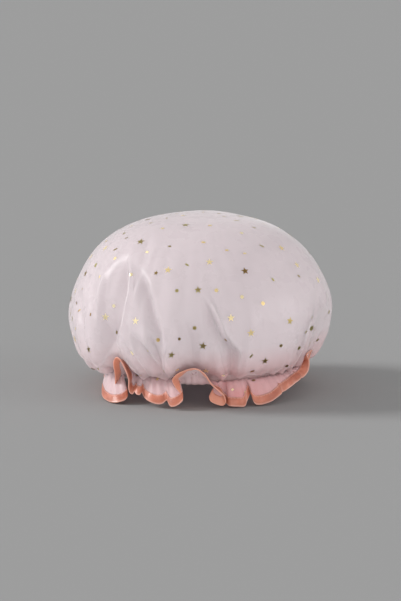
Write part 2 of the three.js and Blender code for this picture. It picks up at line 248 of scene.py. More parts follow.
# The hem goes on out of sight at both sides: the angle round the loop, the reach, the height,
# and the angle at which its film is gathered
HEM_RIGHT_SIDE = [
    (75.5, 104.5, 40.5, 75), (79.5, 101.5, 35, 78), (83.5, 99.5, 28, 81.5),
    (86.5, 98, 21, 84.5), (89, 97, 17.5, 87.5), (92.5, 98.5, 17, 90.5),
    (96.5, 98.5, 19.5, 94.5), (100, 98, 15.5, 98.5), (104, 98.5, 14, 102.5),
    (107.5, 98.5, 15, 106), (110.5, 97.5, 8.5, 109.5), (114, 99, 3, 113),
    (118, 101, 0.6, 116.5),
]
HEM_LEFT_SIDE = [
    (-113.5, 98, 4, -113), (-110.5, 97, 5.5, -110), (-108, 96, 8.5, -107),
    (-105, 95.5, 9, -104.5), (-102.5, 96, 3.5, -102), (-99, 96, 0.8, -98.5),
    (-95.5, 95, 2, -95.5), (-93.5, 93.5, 6, -93), (-90, 93, 8.5, -90), (-87, 94, 4.5, -87),
    (-83.5, 94, 1, -83.5), (-78, 94.5, 0.8, -78.5), (-72, 97, 2.5, -72.5),
]

# Behind, it runs in waves between two angles. Each wave has its width, and then the reach of its
# lobe, the rise of its arch and its lean, drawn between a least and a most.
BACK_START, BACK_END = 121, 244
BACK_WAVES = 10
WIDEST_BEHIND = 95.0
WAVE_WIDTHS = (0.7, 1.4)
LEAST_WAVE, MOST_WAVE = [112, 22, -0.05], [119, 30, 0.05]
NECK_REACH, WAIST_REACH, ARCH_REACH = 103, 101, 110
HEM_SEED = 5


def hem_behind():
    """The wavy hem at the back: lobes that lie on the floor, and narrow arches between them."""
    random = np.random.default_rng(HEM_SEED)
    widths = random.uniform(*WAVE_WIDTHS, BACK_WAVES)
    ends = BACK_START + np.cumsum(widths) / widths.sum() * (BACK_END - BACK_START)
    rows = []
    start = BACK_START
    for end in ends:
        width = end - start
        out, rise, lean = random.uniform(LEAST_WAVE, MOST_WAVE)
        # Shares of the width, reaches, heights and shares of the gathered film
        wave = [
            (lean, NECK_REACH, 1.5, 0.06),
            (0.05 + lean, out - 6, 0.5, 0.15),
            (0.2 + lean, out - 1, 0, 0.26),
            (0.38 + lean, out, 0.2, 0.38),
            (0.55 + lean, out - 5, 0.8, 0.49),
            (0.6 + lean, NECK_REACH, 3, 0.57),
            (0.62, WAIST_REACH, rise * 0.35, 0.63),
            (0.66, 106, rise * 0.8, 0.7),
            (0.75, ARCH_REACH, rise, 0.78),
            (0.86, ARCH_REACH, rise * 0.97, 0.86),
            (0.92, 105.5, rise * 0.72, 0.92),
            (0.94, WAIST_REACH, rise * 0.3, 0.97),
        ]
        for share, reach, height, foot in wave:
            angle = start + share * width
            widest = WIDEST_BEHIND / abs(math.sin(math.radians(angle)) + 1e-9)
            rows.append((angle, min(reach, widest), height, start + foot * width))
        start = end
    return rows[:-1]


# The last of a place's four numbers is its gathered angle, which rises by 360 in a full turn
FULL_TURN = np.array([0, 0, 0, 360])


def hem_path():
    """Points and gathered angles of the whole hem, starting at the left of the front."""
    places = [(*seen(across, down, reach), foot) for across, down, reach, foot in HEM_SEEN]
    rest = [*HEM_RIGHT_SIDE, *hem_behind()]
    rest += [(angle + 360, reach, height, foot + 360) for angle, reach, height, foot in HEM_LEFT_SIDE]
    for angle, reach, height, foot in rest:
        places.append((*round_loop(math.radians(angle), reach, height), foot))
    places.append(places[0] + FULL_TURN)
    return np.array(places)


# Points on the hem's curve, and the steps between its columns, in millimetres. The columns
# make up whole groups.
CURVE_STEPS = 12000
COLUMN_GROUP = 4
FOOT_SMOOTHING = 3
FRONT_STEP = 1.15
BACK_STEP = 1.9


def hem_columns():
    """The hem cut into columns, close together in front and wider apart behind."""
    places = hem_path()
    turns = [places[-2] - FULL_TURN, *places, places[1] + FULL_TURN]
    dense = spline(np.array(turns), np.linspace(0, 1, CURVE_STEPS + 1))
    half = CURVE_STEPS // 2
    start = np.argmin(np.linalg.norm(dense[:half] - places[0], axis=1))
    end = half + np.argmin(np.linalg.norm(dense[half:] - places[-1], axis=1))
    dense = dense[start : end + 1]
    dense[:, 3] = np.maximum.accumulate(dense[:, 3])
    steps = np.linalg.norm(np.diff(dense[:, :3], axis=0), axis=1)
    wide = np.where(dense[:-1, 3] < HEM_RIGHT_SIDE[0][3], FRONT_STEP, BACK_STEP)
    count = np.concatenate([[0], np.cumsum(steps / wide)])
    columns = int(count[-1]) // COLUMN_GROUP * COLUMN_GROUP
    picked = np.linspace(0, count[-1], columns, endpoint=False)
    table = np.stack([np.interp(picked, count, axis) for axis in dense.T], axis=1)
    edge, foot = table[:, :3], table[:, 3]
    edge[:, 2] = np.maximum(edge[:, 2], LEAST_HEIGHT)
    return edge, smooth_round(foot, FOOT_SMOOTHING)


def smooth_round(foot, times):
    """Evens out angles that rise by 360 round a closed row."""
    even = np.arange(len(foot)) / len(foot) * 360
    rest = foot - even
    for _ in range(times):
        rest = (np.roll(rest, 1) + 2 * rest + np.roll(rest, -1)) / 4
    return rest + even


# Creases that the photograph shows: pixels along each, its depth, and how many pixels wide
# its left and right walls are. A sharp crease has a share of 1 and a soft fold 0.
CREASES = [
    ([(127, 254), (124, 270), (121, 290), (116, 318), (109, 338), (104, 354)], 9.0, 26, 8, 0.95),
    ([(139, 268), (146, 284), (152, 304), (159, 326), (166, 352)], 7.2, 14, 6, 1.0),
    ([(122, 322), (140, 342), (154, 361), (168, 384)], 7.0, 10, 6, 1.0),
    ([(146, 326), (157, 350), (165, 374)], 4.4, 7, 5, 1.0),
    ([(114, 334), (134, 358), (152, 380)], 3.6, 6, 5, 1.0),
    ([(132, 330), (147, 352), (159, 372)], 2.8, 5, 4, 1.0),
    (
        [(201, 295), (208, 309), (217, 328), (224, 342), (234, 354), (234, 364), (231, 378)],
        7.5, 16, 6, 1.0,
    ),
    ([(80, 286), (79, 310), (84, 344)], 4.6, 10, 9, 1.0),
    ([(96, 262), (92, 282), (90, 304)], 2.6, 11, 7, 0.8),
    ([(262, 312), (267, 335), (262, 360)], 1.8, 14, 12, 0.3),
    ([(296, 330), (301, 345), (297, 362)], 2.0, 9, 8, 0.5),
    ([(318, 318), (316, 336), (309, 352)], 3.0, 8, 9, 0.9),
    ([(184, 326), (191, 348), (193, 368)], 3.0, 12, 8, 0.8),
    ([(232, 376), (246, 384), (250, 394)], 1.6, 5, 6, 0.9),
    ([(218, 338), (222, 362), (228, 384)], 2.6, 8, 5, 1.0),
    ([(98, 318), (104, 345), (112, 362)], 2.6, 8, 5, 1.0),
    ([(172, 316), (178, 338), (178, 360)], 2.0, 9, 8, 0.7),
    ([(248, 318), (252, 340), (249, 364)], 1.0, 8, 8, 0.5),
    ([(150, 232), (146, 246), (141, 262)], 2.0, 12, 9, 0.7),
]

# Thin pinched ridges that catch the light: pixels along each, its height, and the pixels of
# its left and right sides
RIDGES = [
    ([(129, 254), (131, 272), (129, 296), (120, 326)], 2.2, 4, 6),
    ([(150, 276), (153, 300), (158, 318), (164, 334), (165, 366)], 2.8, 5, 4),
    ([(204, 293), (213, 306), (221, 322), (226, 336), (240, 354), (238, 372)], 3.8, 4, 4),
    ([(106, 268), (98, 292), (95, 322)], 2.0, 5, 5),
    ([(119, 326), (134, 334), (146, 350), (160, 368)], 2.8, 4, 4),
    ([(76, 300), (78, 322), (86, 340)], 1.6, 4, 4),
    ([(140, 330), (152, 350), (162, 366)], 2.4, 4, 4),
    ([(169, 332), (166, 354), (165, 376)], 2.8, 5, 4),
    ([(230, 378), (233, 390), (236, 400)], 0.6, 3, 3),
]

# Places where the belly is drawn in behind a part of the ruffle that stands up:
# angle, height, half width in degrees, half height, depth
DENTS = [
    (-43, 32, 8, 20, 4.0),
    (-6, 32, 10, 16, 3.0),
    (80, 36, 5, 12, 3.5),
]

# Broad folds above the gathers of the loop: their angles, and how far each stands out. A fold
# that stands out also hangs lower, by this share.
FOLD_DRAW = 5.0 / 6.0
CROWN_FOLDS = [
    (-91, 0.6), (-78, -1.5), (-66, 1.8), (-56, 0.5), (-44, -5.5), (-34, 0.5), (-26, 2.5), (-16, 2.5),
    (-6, -4.5), (3, -3.5), (10, 0.5), (16.5, -1.5), (23, 1.0), (30, -0.8), (38, 0.8), (50, 0.6),
    (62, -2.5), (71, -5.0), (80, -3.2), (90, -0.5), (100, -3.0), (113, 3.6), (125, -3.6),
    (138, 4.2), (150, -3.0), (162, 4.2), (174, -4.8), (187, 4.2), (200, -3.6), (213, 4.2),
    (226, -3.6), (240, 3.6), (255, -2.4),
]

# Creases out of the photograph's sight: the share of the way down at which each begins, its
# angles there and where it runs out, half its width in degrees, and its depth
HIDDEN_CREASES = [
    (0.58, 66, 60, 8, 3.0),
    (0.50, 94, 84, 9, 4.5),
    (0.42, 110, 119, 9, 6.0),
    (0.50, 138, 130, 9, 4.5),
    (0.38, 154, 162, 9, 6.0),
    (0.45, 185, 176, 9, 5.0),
    (0.40, 204, 213, 9, 6.5),
    (0.50, 234, 226, 9, 4.5),
    (0.42, 254, 263, 9, 5.5),
]

# How the ruffle leaves the channel and reaches its edge, at some gathered angles: a push
# outwards and a push upwards in its middle, in millimetres, and a turn of its edge upwards
RUFFLE_FORMS = [
    (-125, 0, 0, 0.55), (-105, 8, -2, 0.9), (-92, 11, -3, 1.2), (-80, 11, -3, 1.2),
    (-72, 8, -2, 0.8), (-66, 2, 0, 0.55), (-60, 0, 2, 0.4), (-50, 0, 3, 0.55),
    (-43, 0, 7.5, 0.55), (-18, 0, 7.5, 0.55), (-14, 0, 4, 0.55), (-10, 0, 2, 0.3),
    (-5, 1, 2, -0.7), (0, 0, 1, -0.5), (6, 0, 2, 0.4), (20, 0, 4.5, 0.5), (40, 0, 4.5, 0.5),
    (50, 1, 3, 1.4), (66, 0, 4, 1.2), (78, 0, 6, 1.0), (98, 4, 9, 0.8), (112, 0, 0, 0.55),
    (235, 0, 0, 0.55),
]

# The film dips where it leaves the channel, by some degrees less where the hem lies higher, and
# in front it puffs up. The handles of its curve are a share of the straight way to the hem.
PUFF_ANGLE = 62.0
LEAVE_DIP, DIP_LOSS = 8, 32
DIP_LIMITS = (-5, 60)
HANDLE_SHARE = 0.36
PUSH_AT_START = 0.8

# A crease begins narrow and widens along this share of its length. Its walls are a little
# steeper at the bottom.
CREASE_START_WIDTH = 0.3
CREASE_WIDENING = 0.45
WALL_POWER = 1.35


def crease_depth(across, down, line, depth, left, right, sharp):
    """How far a crease sinks the film at some pixels."""
    line = np.array(line, float)
    best = np.full(across.shape, 1e9)
    side = np.zeros_like(best)
    way = np.zeros_like(best)
    count = len(line) - 1
    for index, (start, end) in enumerate(zip(line, line[1:])):
        step = end - start
        to_x, to_y = across - start[0], down - start[1]
        share = np.clip((to_x * step[0] + to_y * step[1]) / (step @ step), 0, 1)
        gap = np.hypot(to_x - share * step[0], to_y - share * step[1])
        nearer = gap < best
        best = np.where(nearer, gap, best)
        side = np.where(nearer, np.sign(to_x * step[1] - to_y * step[0]), side)
        way = np.where(nearer, (index + share) / count, way)
    spread = smoothstep(way, 0.0, CREASE_WIDENING)
    spread = CREASE_START_WIDTH + (1 - CREASE_START_WIDTH) * spread
    share = np.clip(best / (np.where(side > 0, right, left) * spread), 0, 1)
    soft = 1 - smoothstep(share, 0, 1)
    form = soft * (1 - sharp) + (1 - share) ** WALL_POWER * sharp
    return depth * form * smoothstep(way, -0.02, 0.42) * smoothstep(1 - way, -0.15, 0.25)


# Gathers above the channel, fine ones that merge into fewer and wider ones further up: height,
# number, the distances over which they grow, and the distance and power with which they fade
GATHERS = [
    (2.1, 71, -2, -1, 17, 1.5),
    (4.3, 41, 0, 16, 50, 2),
    (4.0, 21, 8, 45, 98, 3),
]
GATHER_SEED = 11
FINE_LOSS_IN_FRONT = 0.6
# A pleat's crest is sharper the closer this is to 1, and its size varies from one to the next
PLEAT_CREST = 0.93
PLEAT_SIZE, PLEAT_UNEVENNESS = 0.72, 0.13

# The front, which the photograph shows, begins and ends between these angles
FRONT_LEFT = (-88, -70)
FRONT_RIGHT = (64, 80)


def pleats(angle, below, count, seed):
    """Uneven pleats side by side, from -1 to 1, with rather sharp crests."""
    random = np.random.default_rng(seed)
    turn = np.radians(angle)
    phase = turn * count + random.uniform(0, 6.3)
    size = 0.0 * turn
    for ways in (3, 5, 8, 13):
        start, pace, swing = random.uniform([0, -0.03, 0.5], [6.3, 0.03, 1.3])
        phase = phase + swing * np.sin(turn * ways + start + pace * below)
        size = size + np.sin(turn * (ways + 1) + 2 * start)
    wave = np.arcsin(PLEAT_CREST * np.sin(phase)) / math.asin(PLEAT_CREST)
    return wave * (PLEAT_SIZE + PLEAT_UNEVENNESS * size)


def front_share(angle):
    """1 in the front that the photograph shows, and 0 behind."""
    turn = half_turn(angle)
    return smoothstep(turn, *FRONT_LEFT) * (1 - smoothstep(turn, *FRONT_RIGHT))


def gather_height(angle, below, front=1.0):
    """How far the gathers stand out at some angles and distances above the channel."""
    layers = []
    for index, (height, count, start, full, reach, power) in enumerate(GATHERS):
        size = height * (smoothstep(below, start, full) * np.exp(-((below / reach) ** power)))
        layers.append(size * pleats(angle, below, count, GATHER_SEED + 2 * index))
    fine, wide, broad = layers
    return fine * (1 - FINE_LOSS_IN_FRONT * front_share(angle)) + (wide + broad) * front


def broad_folds(angle):
    """How far the crown's broad folds stand out at some angles."""
    places, sizes = np.array(CROWN_FOLDS).T
    turn = (angle - places[0]) % 360 + places[0]
    after = np.searchsorted(places, turn, side="right")
    ends, closed = np.append(places, places[0] + 360), np.append(sizes, sizes[0])
    share = smoothstep(turn, ends[after - 1], ends[after])
    return closed[after - 1] + (closed[after] - closed[after - 1]) * share


# Hidden creases run to this share of the way down, deepen over this share of it, and are
# narrower on one side
CREASE_FOOT = 0.9
CREASE_DEEPENING = 0.16
NARROW_SIDE = 0.7
HIDDEN_WALL_POWER = 1.3


def hidden_creases(angle, ways):
    """Creases of the sides and the back, where the photograph doesn't reach."""
    total = np.zeros(np.broadcast(angle, ways).shape)
    for start, head, foot, width, depth in HIDDEN_CREASES:
        middle = head + (foot - head) * (ways - start) / (CREASE_FOOT - start)
        away = half_turn(angle - middle)
        reach = np.where(away > 0, width * NARROW_SIDE, width)
        wall = np.clip(1 - np.abs(away) / reach, 0, 1) ** HIDDEN_WALL_POWER
        total -= depth * wall * smoothstep(ways, start, start + CREASE_DEEPENING)
    return total


SWELL_HEIGHT = 0.8


def soft_swell(points):
    """Slow swells that keep the crown from being a perfect dome."""
    x, y, z = (points / 100).transpose(2, 0, 1)
    swell = np.sin(5.1 * x + 2.3 * z + 1) * np.sin(4.3 * y - 1.7 * z + 0.5)
    swell += 0.6 * np.sin(9.7 * x - 3.1 * y + 2) * np.sin(8.3 * z + 2.9 * y)
    return swell * SWELL_HEIGHT


# Shares of the way down: the slump and the broad folds grow between the first two. The crown
# settles onto the loop below the third, and its folds end below the fourth.
FOLDS_GROW = (0.35, 0.8)
CROWN_SETTLES, FOLDS_SETTLE = 0.84, 0.9
# Distances above the channel over which the swells and the dents grow
SWELLS_GROW = (4, 40)
DENTS_GROW = (0, 5)
# The film comes into sight as it faces the camera by these shares, and has less gathers there
FACES_CAMERA = (0.0, 0.25)
GATHER_LOSS_IN_SIGHT = 0.85


def crown_surface(foot, ways):
    """The crown's points, one row for each way and one column for each gathered angle."""
    reach, height = (row[:, None] for row in crown_section(ways))
    turn = np.radians(foot)[None, :]
    settle = smoothstep(ways, CROWN_SETTLES, 1)[:, None]
    points = round_loop(turn, reach, height, LOOP_MIDDLE * settle)
    rise = smoothstep(ways, *FOLDS_GROW)[:, None]
    points[:, :, 2] += SLUMP * points[:, :, 0] / CAP_REACH * rise * (1 - settle)
    down = np.gradient(points, axis=0)
    around = np.stack([np.cos(turn), np.sin(turn), 0 * turn], axis=2) + 0 * points
    return points, unit(np.cross(down, around))


def dent_depth(points, angle, place, height, width, tall, deep):
    """How far one dent draws the belly in."""
    away = half_turn(angle - place)
    near = np.exp(-((away / width) ** 4)) * np.exp(-(((points[:, :, 2] - height) / tall) ** 2))
    return deep * near


def dress_crown(points, outward, foot, ways, length):
    """Adds the creases, folds, dents and gathers to the crown."""
    across, down = to_picture(points)
    facing = smoothstep(-(outward @ AHEAD), *FACES_CAMERA)
    depth = np.zeros(across.shape)
    for crease in CREASES:
        depth -= crease_depth(across, down, *crease) * facing
    for line, height, left, right in RIDGES:
        depth += crease_depth(across, down, line, height, left, right, 1.0) * facing
    angle = foot[None, :]
    below = (1 - ways)[:, None] * length
    settle = smoothstep(ways, FOLDS_SETTLE, 1)[:, None]
    depth += hidden_creases(angle, ways[:, None]) * (1 - settle)
    depth += gather_height(angle, below, 1 - GATHER_LOSS_IN_SIGHT * facing)
    depth += soft_swell(points) * smoothstep(below, *SWELLS_GROW)
    for dent in DENTS:
        depth -= dent_depth(points, angle, *dent) * smoothstep(below, *DENTS_GROW)
    broad = broad_folds(angle) * (smoothstep(ways, *FOLDS_GROW)[:, None] * (1 - settle))
    pushed = points + outward * depth[:, :, None]
    return pushed + round_loop(np.radians(angle), broad, -broad * FOLD_DRAW, 0)


# The elastic draws the middle of the channel's gathers flatter by this share
CHANNEL_PINCH = 0.45


def channel_surface(foot, rows):
    """The sewn channel between its upper and lower edges, puckered by the elastic."""
    share = np.linspace(0, 1, rows)[1:-1, None]
    pinch = 1 - CHANNEL_PINCH * np.sin(math.pi * share)
    reach = LOOP_REACH + gather_height(foot[None, :], 0 * share) * pinch
    height = CHANNEL_TOP + (CHANNEL_FLOOR - CHANNEL_TOP) * share
    return round_loop(np.radians(foot)[None, :], reach, height)


UPRIGHT = np.array([0, 0, 1.0])


def ruffle_surface(foot, edge, shares):
    """The ruffle, each column a curve from the channel's lower edge to the hem."""
    turn = np.radians(foot)
    outward = np.stack([np.sin(turn), -np.cos(turn), 0 * turn], axis=1)
    start = round_loop(turn, LOOP_REACH + gather_height(foot, 0 * foot), CHANNEL_FLOOR)
    chord = edge - start
    size = np.linalg.norm(chord, axis=1, keepdims=True)
    rise = chord[:, 2:] / size
    puff = PUFF_ANGLE * front_share(foot)[:, None]
    dip = np.radians(np.clip(LEAVE_DIP - DIP_LOSS * rise, *DIP_LIMITS) - puff)
    leave = outward * np.cos(dip) - UPRIGHT * np.sin(dip)
    places, *forms = zip(*RUFFLE_FORMS)
    out, up, lift = (np.interp(foot, places, form)[:, None] for form in forms)
    push = outward * out + UPRIGHT * up
    arrive = unit(chord / size + lift * rise * UPRIGHT)
    first = start + leave * size * HANDLE_SHARE + push * PUSH_AT_START
    second = edge - arrive * size * HANDLE_SHARE + push
    t = shares[:, None, None]
    points = (1 - t) ** 3 * start + 3 * t * (1 - t) ** 2 * first
    points = points + 3 * t**2 * (1 - t) * second + t**3 * edge
    points[:, :, 2] = np.maximum(points[:, :, 2], RUFFLE_FLOOR)
    return points


# Steps between the crown's rows, each up to a distance from its top, and the step of the rest
CROWN_STEPS = [(105, 5.5), (180, 3.0), (215, 2.0)]
LAST_CROWN_STEP = 1.35


def crown_ways(length):
    """Rows of the crown, closer together towards the channel."""
    places = [0.0]
    for end, step in [*CROWN_STEPS, (length, LAST_CROWN_STEP)]:
        count = max(1, round((end - places[-1]) / step))
        places += list(np.linspace(places[-1], end, count + 1)[1:])
    return np.array(places[1:]) / length


def normals_of(grid):
    """Outward directions of a grid whose rows go down and whose columns go round."""
    down = np.gradient(grid, axis=0)
    along = np.roll(grid, -1, axis=1) - np.roll(grid, 1, axis=1)
    return unit(np.cross(down, along))


def evened(field, times):
    """A grid of vectors or numbers smoothed over its neighbours."""
    for _ in range(times):
        field = (np.roll(field, 1, axis=1) + 2 * field + np.roll(field, -1, axis=1)) / 4
        inner = (field[:-2] + 2 * field[1:-1] + field[2:]) / 4
        field = np.concatenate([field[:1], inner, field[-1:]])
    return field


# Points that measure the crown's section, rows of the channel and the ruffle, and the height,
# number and slant of the ruffle's small crinkles
SECTION_POINTS = 400
CHANNEL_ROWS = 8
RUFFLE_ROWS = 22
RUFFLE_CRINKLE = 0.55
RUFFLE_PLEATS = 89
CRINKLE_SLANT = 40


class Film:
    """The outer film's grid, and what the other pieces need to know about it."""

    def __init__(self):
        edge, self.foot = hem_columns()
        reach, height = crown_section(np.linspace(0, 1, SECTION_POINTS))
        length = np.hypot(np.diff(reach), np.diff(height)).sum()
        ways = crown_ways(length)
        bare, outward = crown_surface(self.foot, ways)
        crown = dress_crown(bare, outward, self.foot, ways, length)
        shares = np.linspace(0, 1, RUFFLE_ROWS)
        ruffle = ruffle_surface(self.foot, edge, shares)
        channel = channel_surface(self.foot, CHANNEL_ROWS)
        slant = CRINKLE_SLANT * shares[:, None]
        crinkles = pleats(self.foot[None, :], slant, RUFFLE_PLEATS, GATHER_SEED + 6)
        crinkles *= RUFFLE_CRINKLE * np.sin(math.pi * shares[:, None]) ** 0.7
        ruffle += normals_of(ruffle) * crinkles[:, :, None]
        ruffle[:, :, 2] = np.maximum(ruffle[:, :, 2], RUFFLE_FLOOR)
        self.grid = np.concatenate([crown, channel, ruffle])
        self.crown_rows = len(crown)
        self.channel_end = self.crown_rows + CHANNEL_ROWS - 2
        self.normals = normals_of(self.grid)
        steps = np.linalg.norm(np.diff(self.grid, axis=0), axis=2)
        self.run = np.concatenate([np.zeros((1, steps.shape[1])), np.cumsum(steps, axis=0)])

    def at(self, run, depth):
        """Points at a distance down each column, moved a depth behind the film."""
        below = np.clip((self.run < run[None, :]).sum(axis=0), 1, len(self.run) - 1)
        column = np.arange(len(run))
        before, after = self.run[below - 1, column], self.run[below, column]
        share = ((run - before) / np.maximum(after - before, 1e-9))[:, None]
        place = self.grid[below - 1, column] * (1 - share) + self.grid[below, column] * share
        normal = self.normals[below - 1, column] * (1 - share) + self.normals[below, column] * share
        return place - unit(normal) * np.reshape(depth, (-1, 1))


def new_mesh(name, points, faces, uv=None, more_faces=()):
    """A mesh object from points in millimetres and one or two sets of faces."""
    mesh = bpy.data.meshes.new(name)
    sets = [np.asarray(each, np.int32) for each in (faces, more_faces) if len(each)]
    corners = np.concatenate([each.ravel() for each in sets])
    sizes = np.concatenate([np.full(len(each), each.shape[1]) for each in sets])
    starts = np.concatenate([[0], np.cumsum(sizes)[:-1]])
    mesh.vertices.add(len(points))
    mesh.vertices.foreach_set("co", (np.asarray(points) * MM).astype(np.float32).ravel())
    mesh.loops.add(len(corners))
    mesh.loops.foreach_set("vertex_index", corners)
    mesh.polygons.add(len(sizes))
    mesh.polygons.foreach_set("loop_start", starts.astype(np.int32))
    mesh.polygons.foreach_set("use_smooth", np.ones(len(sizes), bool))
    if uv is not None:
        layer = mesh.uv_layers.new(name="UVMap")
        layer.data.foreach_set("uv", uv[corners].astype(np.float32).ravel())
    mesh.update()
    mesh.validate()
    return new_object(name, mesh)


def grid_faces(rows, columns, closed_rows=False):
    """Faces of a grid that is closed round its columns, and round its rows if asked."""
    row = np.arange(rows if closed_rows else rows - 1)[:, None]
    column = np.arange(columns)[None, :]
    below, beside = (row + 1) % rows, (column + 1) % columns
    corners = [
        row * columns + column,
        below * columns + column,
        below * columns + beside,
        row * columns + beside,
    ]
    return np.stack(corners, axis=2).reshape(-1, 4)


def grid_uv(grid):
    """Millimetres along the row in the middle and down the first column."""
    rows, columns = grid.shape[:2]
    along = np.linalg.norm(np.diff(grid[rows // 2], axis=0, append=grid[rows // 2][:1]), axis=1)
    down = np.linalg.norm(np.diff(grid[:, 0], axis=0, prepend=grid[:1, 0]), axis=1)
    u = np.concatenate([[0], np.cumsum(along)[:-1]])
    return np.stack(np.broadcast_arrays(u[None, :], np.cumsum(down)[:, None]), axis=2).reshape(-1, 2)


def shell(name, outer, thickness):
    """A closed thin film: a grid, the same grid behind it, a rim at the hem and two middles."""
    normals = evened(normals_of(outer), 1)
    inner = outer - normals * thickness
    loop = np.concatenate([outer, inner[::-1]])
    rows, columns = loop.shape[:2]
    middles = np.stack([loop[0].mean(axis=0), loop[-1].mean(axis=0)])
    points = np.concatenate([loop.reshape(-1, 3), middles])
    uv = np.concatenate([grid_uv(loop), np.zeros((2, 2))])
    column = np.arange(columns)
    beside = (column + 1) % columns
    pole = np.full(columns, rows * columns)
    last = (rows - 1) * columns
    top = np.stack([pole, column, beside], axis=1)
    under = np.stack([pole + 1, last + beside, last + column], axis=1)
    return new_mesh(name, points, grid_faces(rows, columns), uv, np.concatenate([top, under]))


# The liner hangs loose inside the film at the right: how far, and the spans of x, of z at the
# bottom and top, and of the way forwards over which it comes loose
LINER_HANG = 13
LOOSE_ACROSS, LOOSE_FROM, LOOSE_TO = (84, 118), (16, 38), (58, 88)
LOOSE_FORWARDS = (-60, -10)
LINER_PLEATS, LINER_PLEAT_HEIGHT = 47, 1.9
LINER_SEED = 47
LINER_PLEATS_GROW = (50, 110)
LINER_SMOOTHING = 6


def liner_grid(film):
    """The liner: the outer film's grid drawn inwards, most where it hangs loose inside."""
    normals = evened(film.normals, LINER_SMOOTHING)
    depth = np.full(film.grid.shape[:2], CROWN_GAP)
    x, y, z = film.grid.transpose(2, 0, 1)
    loose = smoothstep(x, *LOOSE_ACROSS) * smoothstep(z, *LOOSE_FROM) * (1 - smoothstep(z, *LOOSE_TO))
    depth += LINER_HANG * loose * smoothstep(-y, *LOOSE_FORWARDS)
    folds = 1 + pleats(film.foot[None, :], film.run, LINER_PLEATS, LINER_SEED)
    depth += LINER_PLEAT_HEIGHT * folds * smoothstep(film.run, *LINER_PLEATS_GROW)
    row = np.arange(len(film.grid))[:, None]
    settle = smoothstep(row, film.crown_rows - 9, film.crown_rows - 1)
    depth = depth * (1 - settle) + CHANNEL_GAP * settle
    flat = smoothstep(row, film.channel_end - 1, film.channel_end + 5)
    depth = depth * (1 - flat) + RUFFLE_GAP * flat
    mixed = unit(normals * (1 - flat[:, :, None]) + film.normals * flat[:, :, None])
    return film.grid - mixed * depth[:, :, None]


# The ribbon's two sides lie just clear of both films, and its fold clear of their cut edges
RIBBON_CLEARANCE = 0.12
RIBBON_INSIDE = RUFFLE_GAP + FILM_THICKNESS + RIBBON_CLEARANCE
RIBBON_OUTSIDE = -RIBBON_CLEARANCE
FOLD_CLEARANCE = 0.15
FACE_POINTS, FOLD_POINTS = 11, 7
PUCKER = 0.45
PUCKER_SEED = 3


def ribbon_grid(film):
    """The ribbon's closed section, laid round both cut edges of the film."""
    total = film.run[-1]
    fold_radius = (RIBBON_INSIDE - RIBBON_OUTSIDE) / 2
    middle = (RIBBON_INSIDE + RIBBON_OUTSIDE) / 2
    across = np.linspace(0, 1, FACE_POINTS)
    turn = np.linspace(-math.pi / 2, math.pi / 2, FOLD_POINTS)[1:-1]
    random = np.random.default_rng(PUCKER_SEED)
    puckers = evened(random.normal(0, 1, (2, len(total))), 2)
    puckers *= PUCKER / np.abs(puckers).max()
    rows = []

    def face(depth, shares, sign, which):
        for share in shares:
            swell = puckers[which] * math.sin(math.pi * min(1, share * 1.1)) * sign
            rows.append(film.at(total - RIBBON_FACE * (1 - share), depth - np.abs(swell) * sign))

    def fold(radius, turns):
        normal = film.normals[-1]
        outwards = unit(film.grid[-1] - film.grid[-2])
        for angle in turns:
            away = outwards * (FOLD_CLEARANCE + radius * math.cos(angle))
            rows.append(film.grid[-1] + away - normal * (middle + radius * math.sin(angle)))

    face(RIBBON_OUTSIDE - RIBBON_THICKNESS, across, 1, 0)
    fold(fold_radius + RIBBON_THICKNESS, turn)
    face(RIBBON_INSIDE + RIBBON_THICKNESS, across[::-1], -1, 1)
    face(RIBBON_INSIDE, across, -1, 1)
    fold(fold_radius, turn[::-1])
    face(RIBBON_OUTSIDE, across[::-1], 1, 0)
    return np.stack(rows)


def ring_body(name, grid):
    """A body closed both round its section and round the cap."""
    return new_mesh(name, grid.reshape(-1, 3), grid_faces(*grid.shape[:2], True), grid_uv(grid))


# A stitch is a small rounded bar that bows off the film: shares along it, and of its radius.
# Its middle lies some shares of the radius off the film. Each end is closed by two faces.
STITCH_SECTIONS = [(0, 0.1), (0.12, 0.8), (0.35, 1), (0.65, 1), (0.88, 0.8), (1, 0.1)]
STITCH_SIDES = 6
STITCH_LIFT, STITCH_BOW = 0.35, 0.5
STITCH_PROBE = 0.3
START_CAP = [(0, 3, 2, 1), (0, 5, 4, 3)]
END_CAP = [(0, 1, 2, 3), (0, 3, 4, 5)]


def stitches(name, line, normals):
    """A row of separate stitches along a closed line of points on the film."""
    closed = np.vstack([line, line[:1]])
    normal = np.vstack([normals, normals[:1]])
    run = np.concatenate([[0], np.cumsum(np.linalg.norm(np.diff(closed, axis=0), axis=1))])
    count = int(run[-1] / (STITCH_LENGTH + STITCH_GAP))
    starts = np.arange(count) * run[-1] / count

    def place(distance, table):
        return np.stack([np.interp(distance, run, axis) for axis in table.T], axis=1)

    angle = np.linspace(0, 2 * math.pi, STITCH_SIDES, endpoint=False)
    rings = []
    for share, size in STITCH_SECTIONS:
        distance = starts + STITCH_LENGTH * share
        centre, out = place(distance, closed), unit(place(distance, normal))
        side = unit(np.cross(place(distance + STITCH_PROBE, closed) - centre, out))
        centre = centre + out * (THREAD_RADIUS * (STITCH_LIFT + STITCH_BOW * math.sin(math.pi * share)))
        for turn in angle:
            rings.append(centre + (side * math.cos(turn) + out * math.sin(turn)) * THREAD_RADIUS * size)
    points = np.stack(rings, axis=1)
    sections = len(STITCH_SECTIONS)
    walls = np.roll(grid_faces(sections, STITCH_SIDES)[:, ::-1], 1, axis=1)
    last = (sections - 1) * STITCH_SIDES
    template = np.concatenate([walls, START_CAP, np.array(END_CAP) + last])
    every = np.arange(count)[:, None, None] * points.shape[1] + template[None]
    return new_mesh(name, points.reshape(-1, 3), every.reshape(-1, 4))


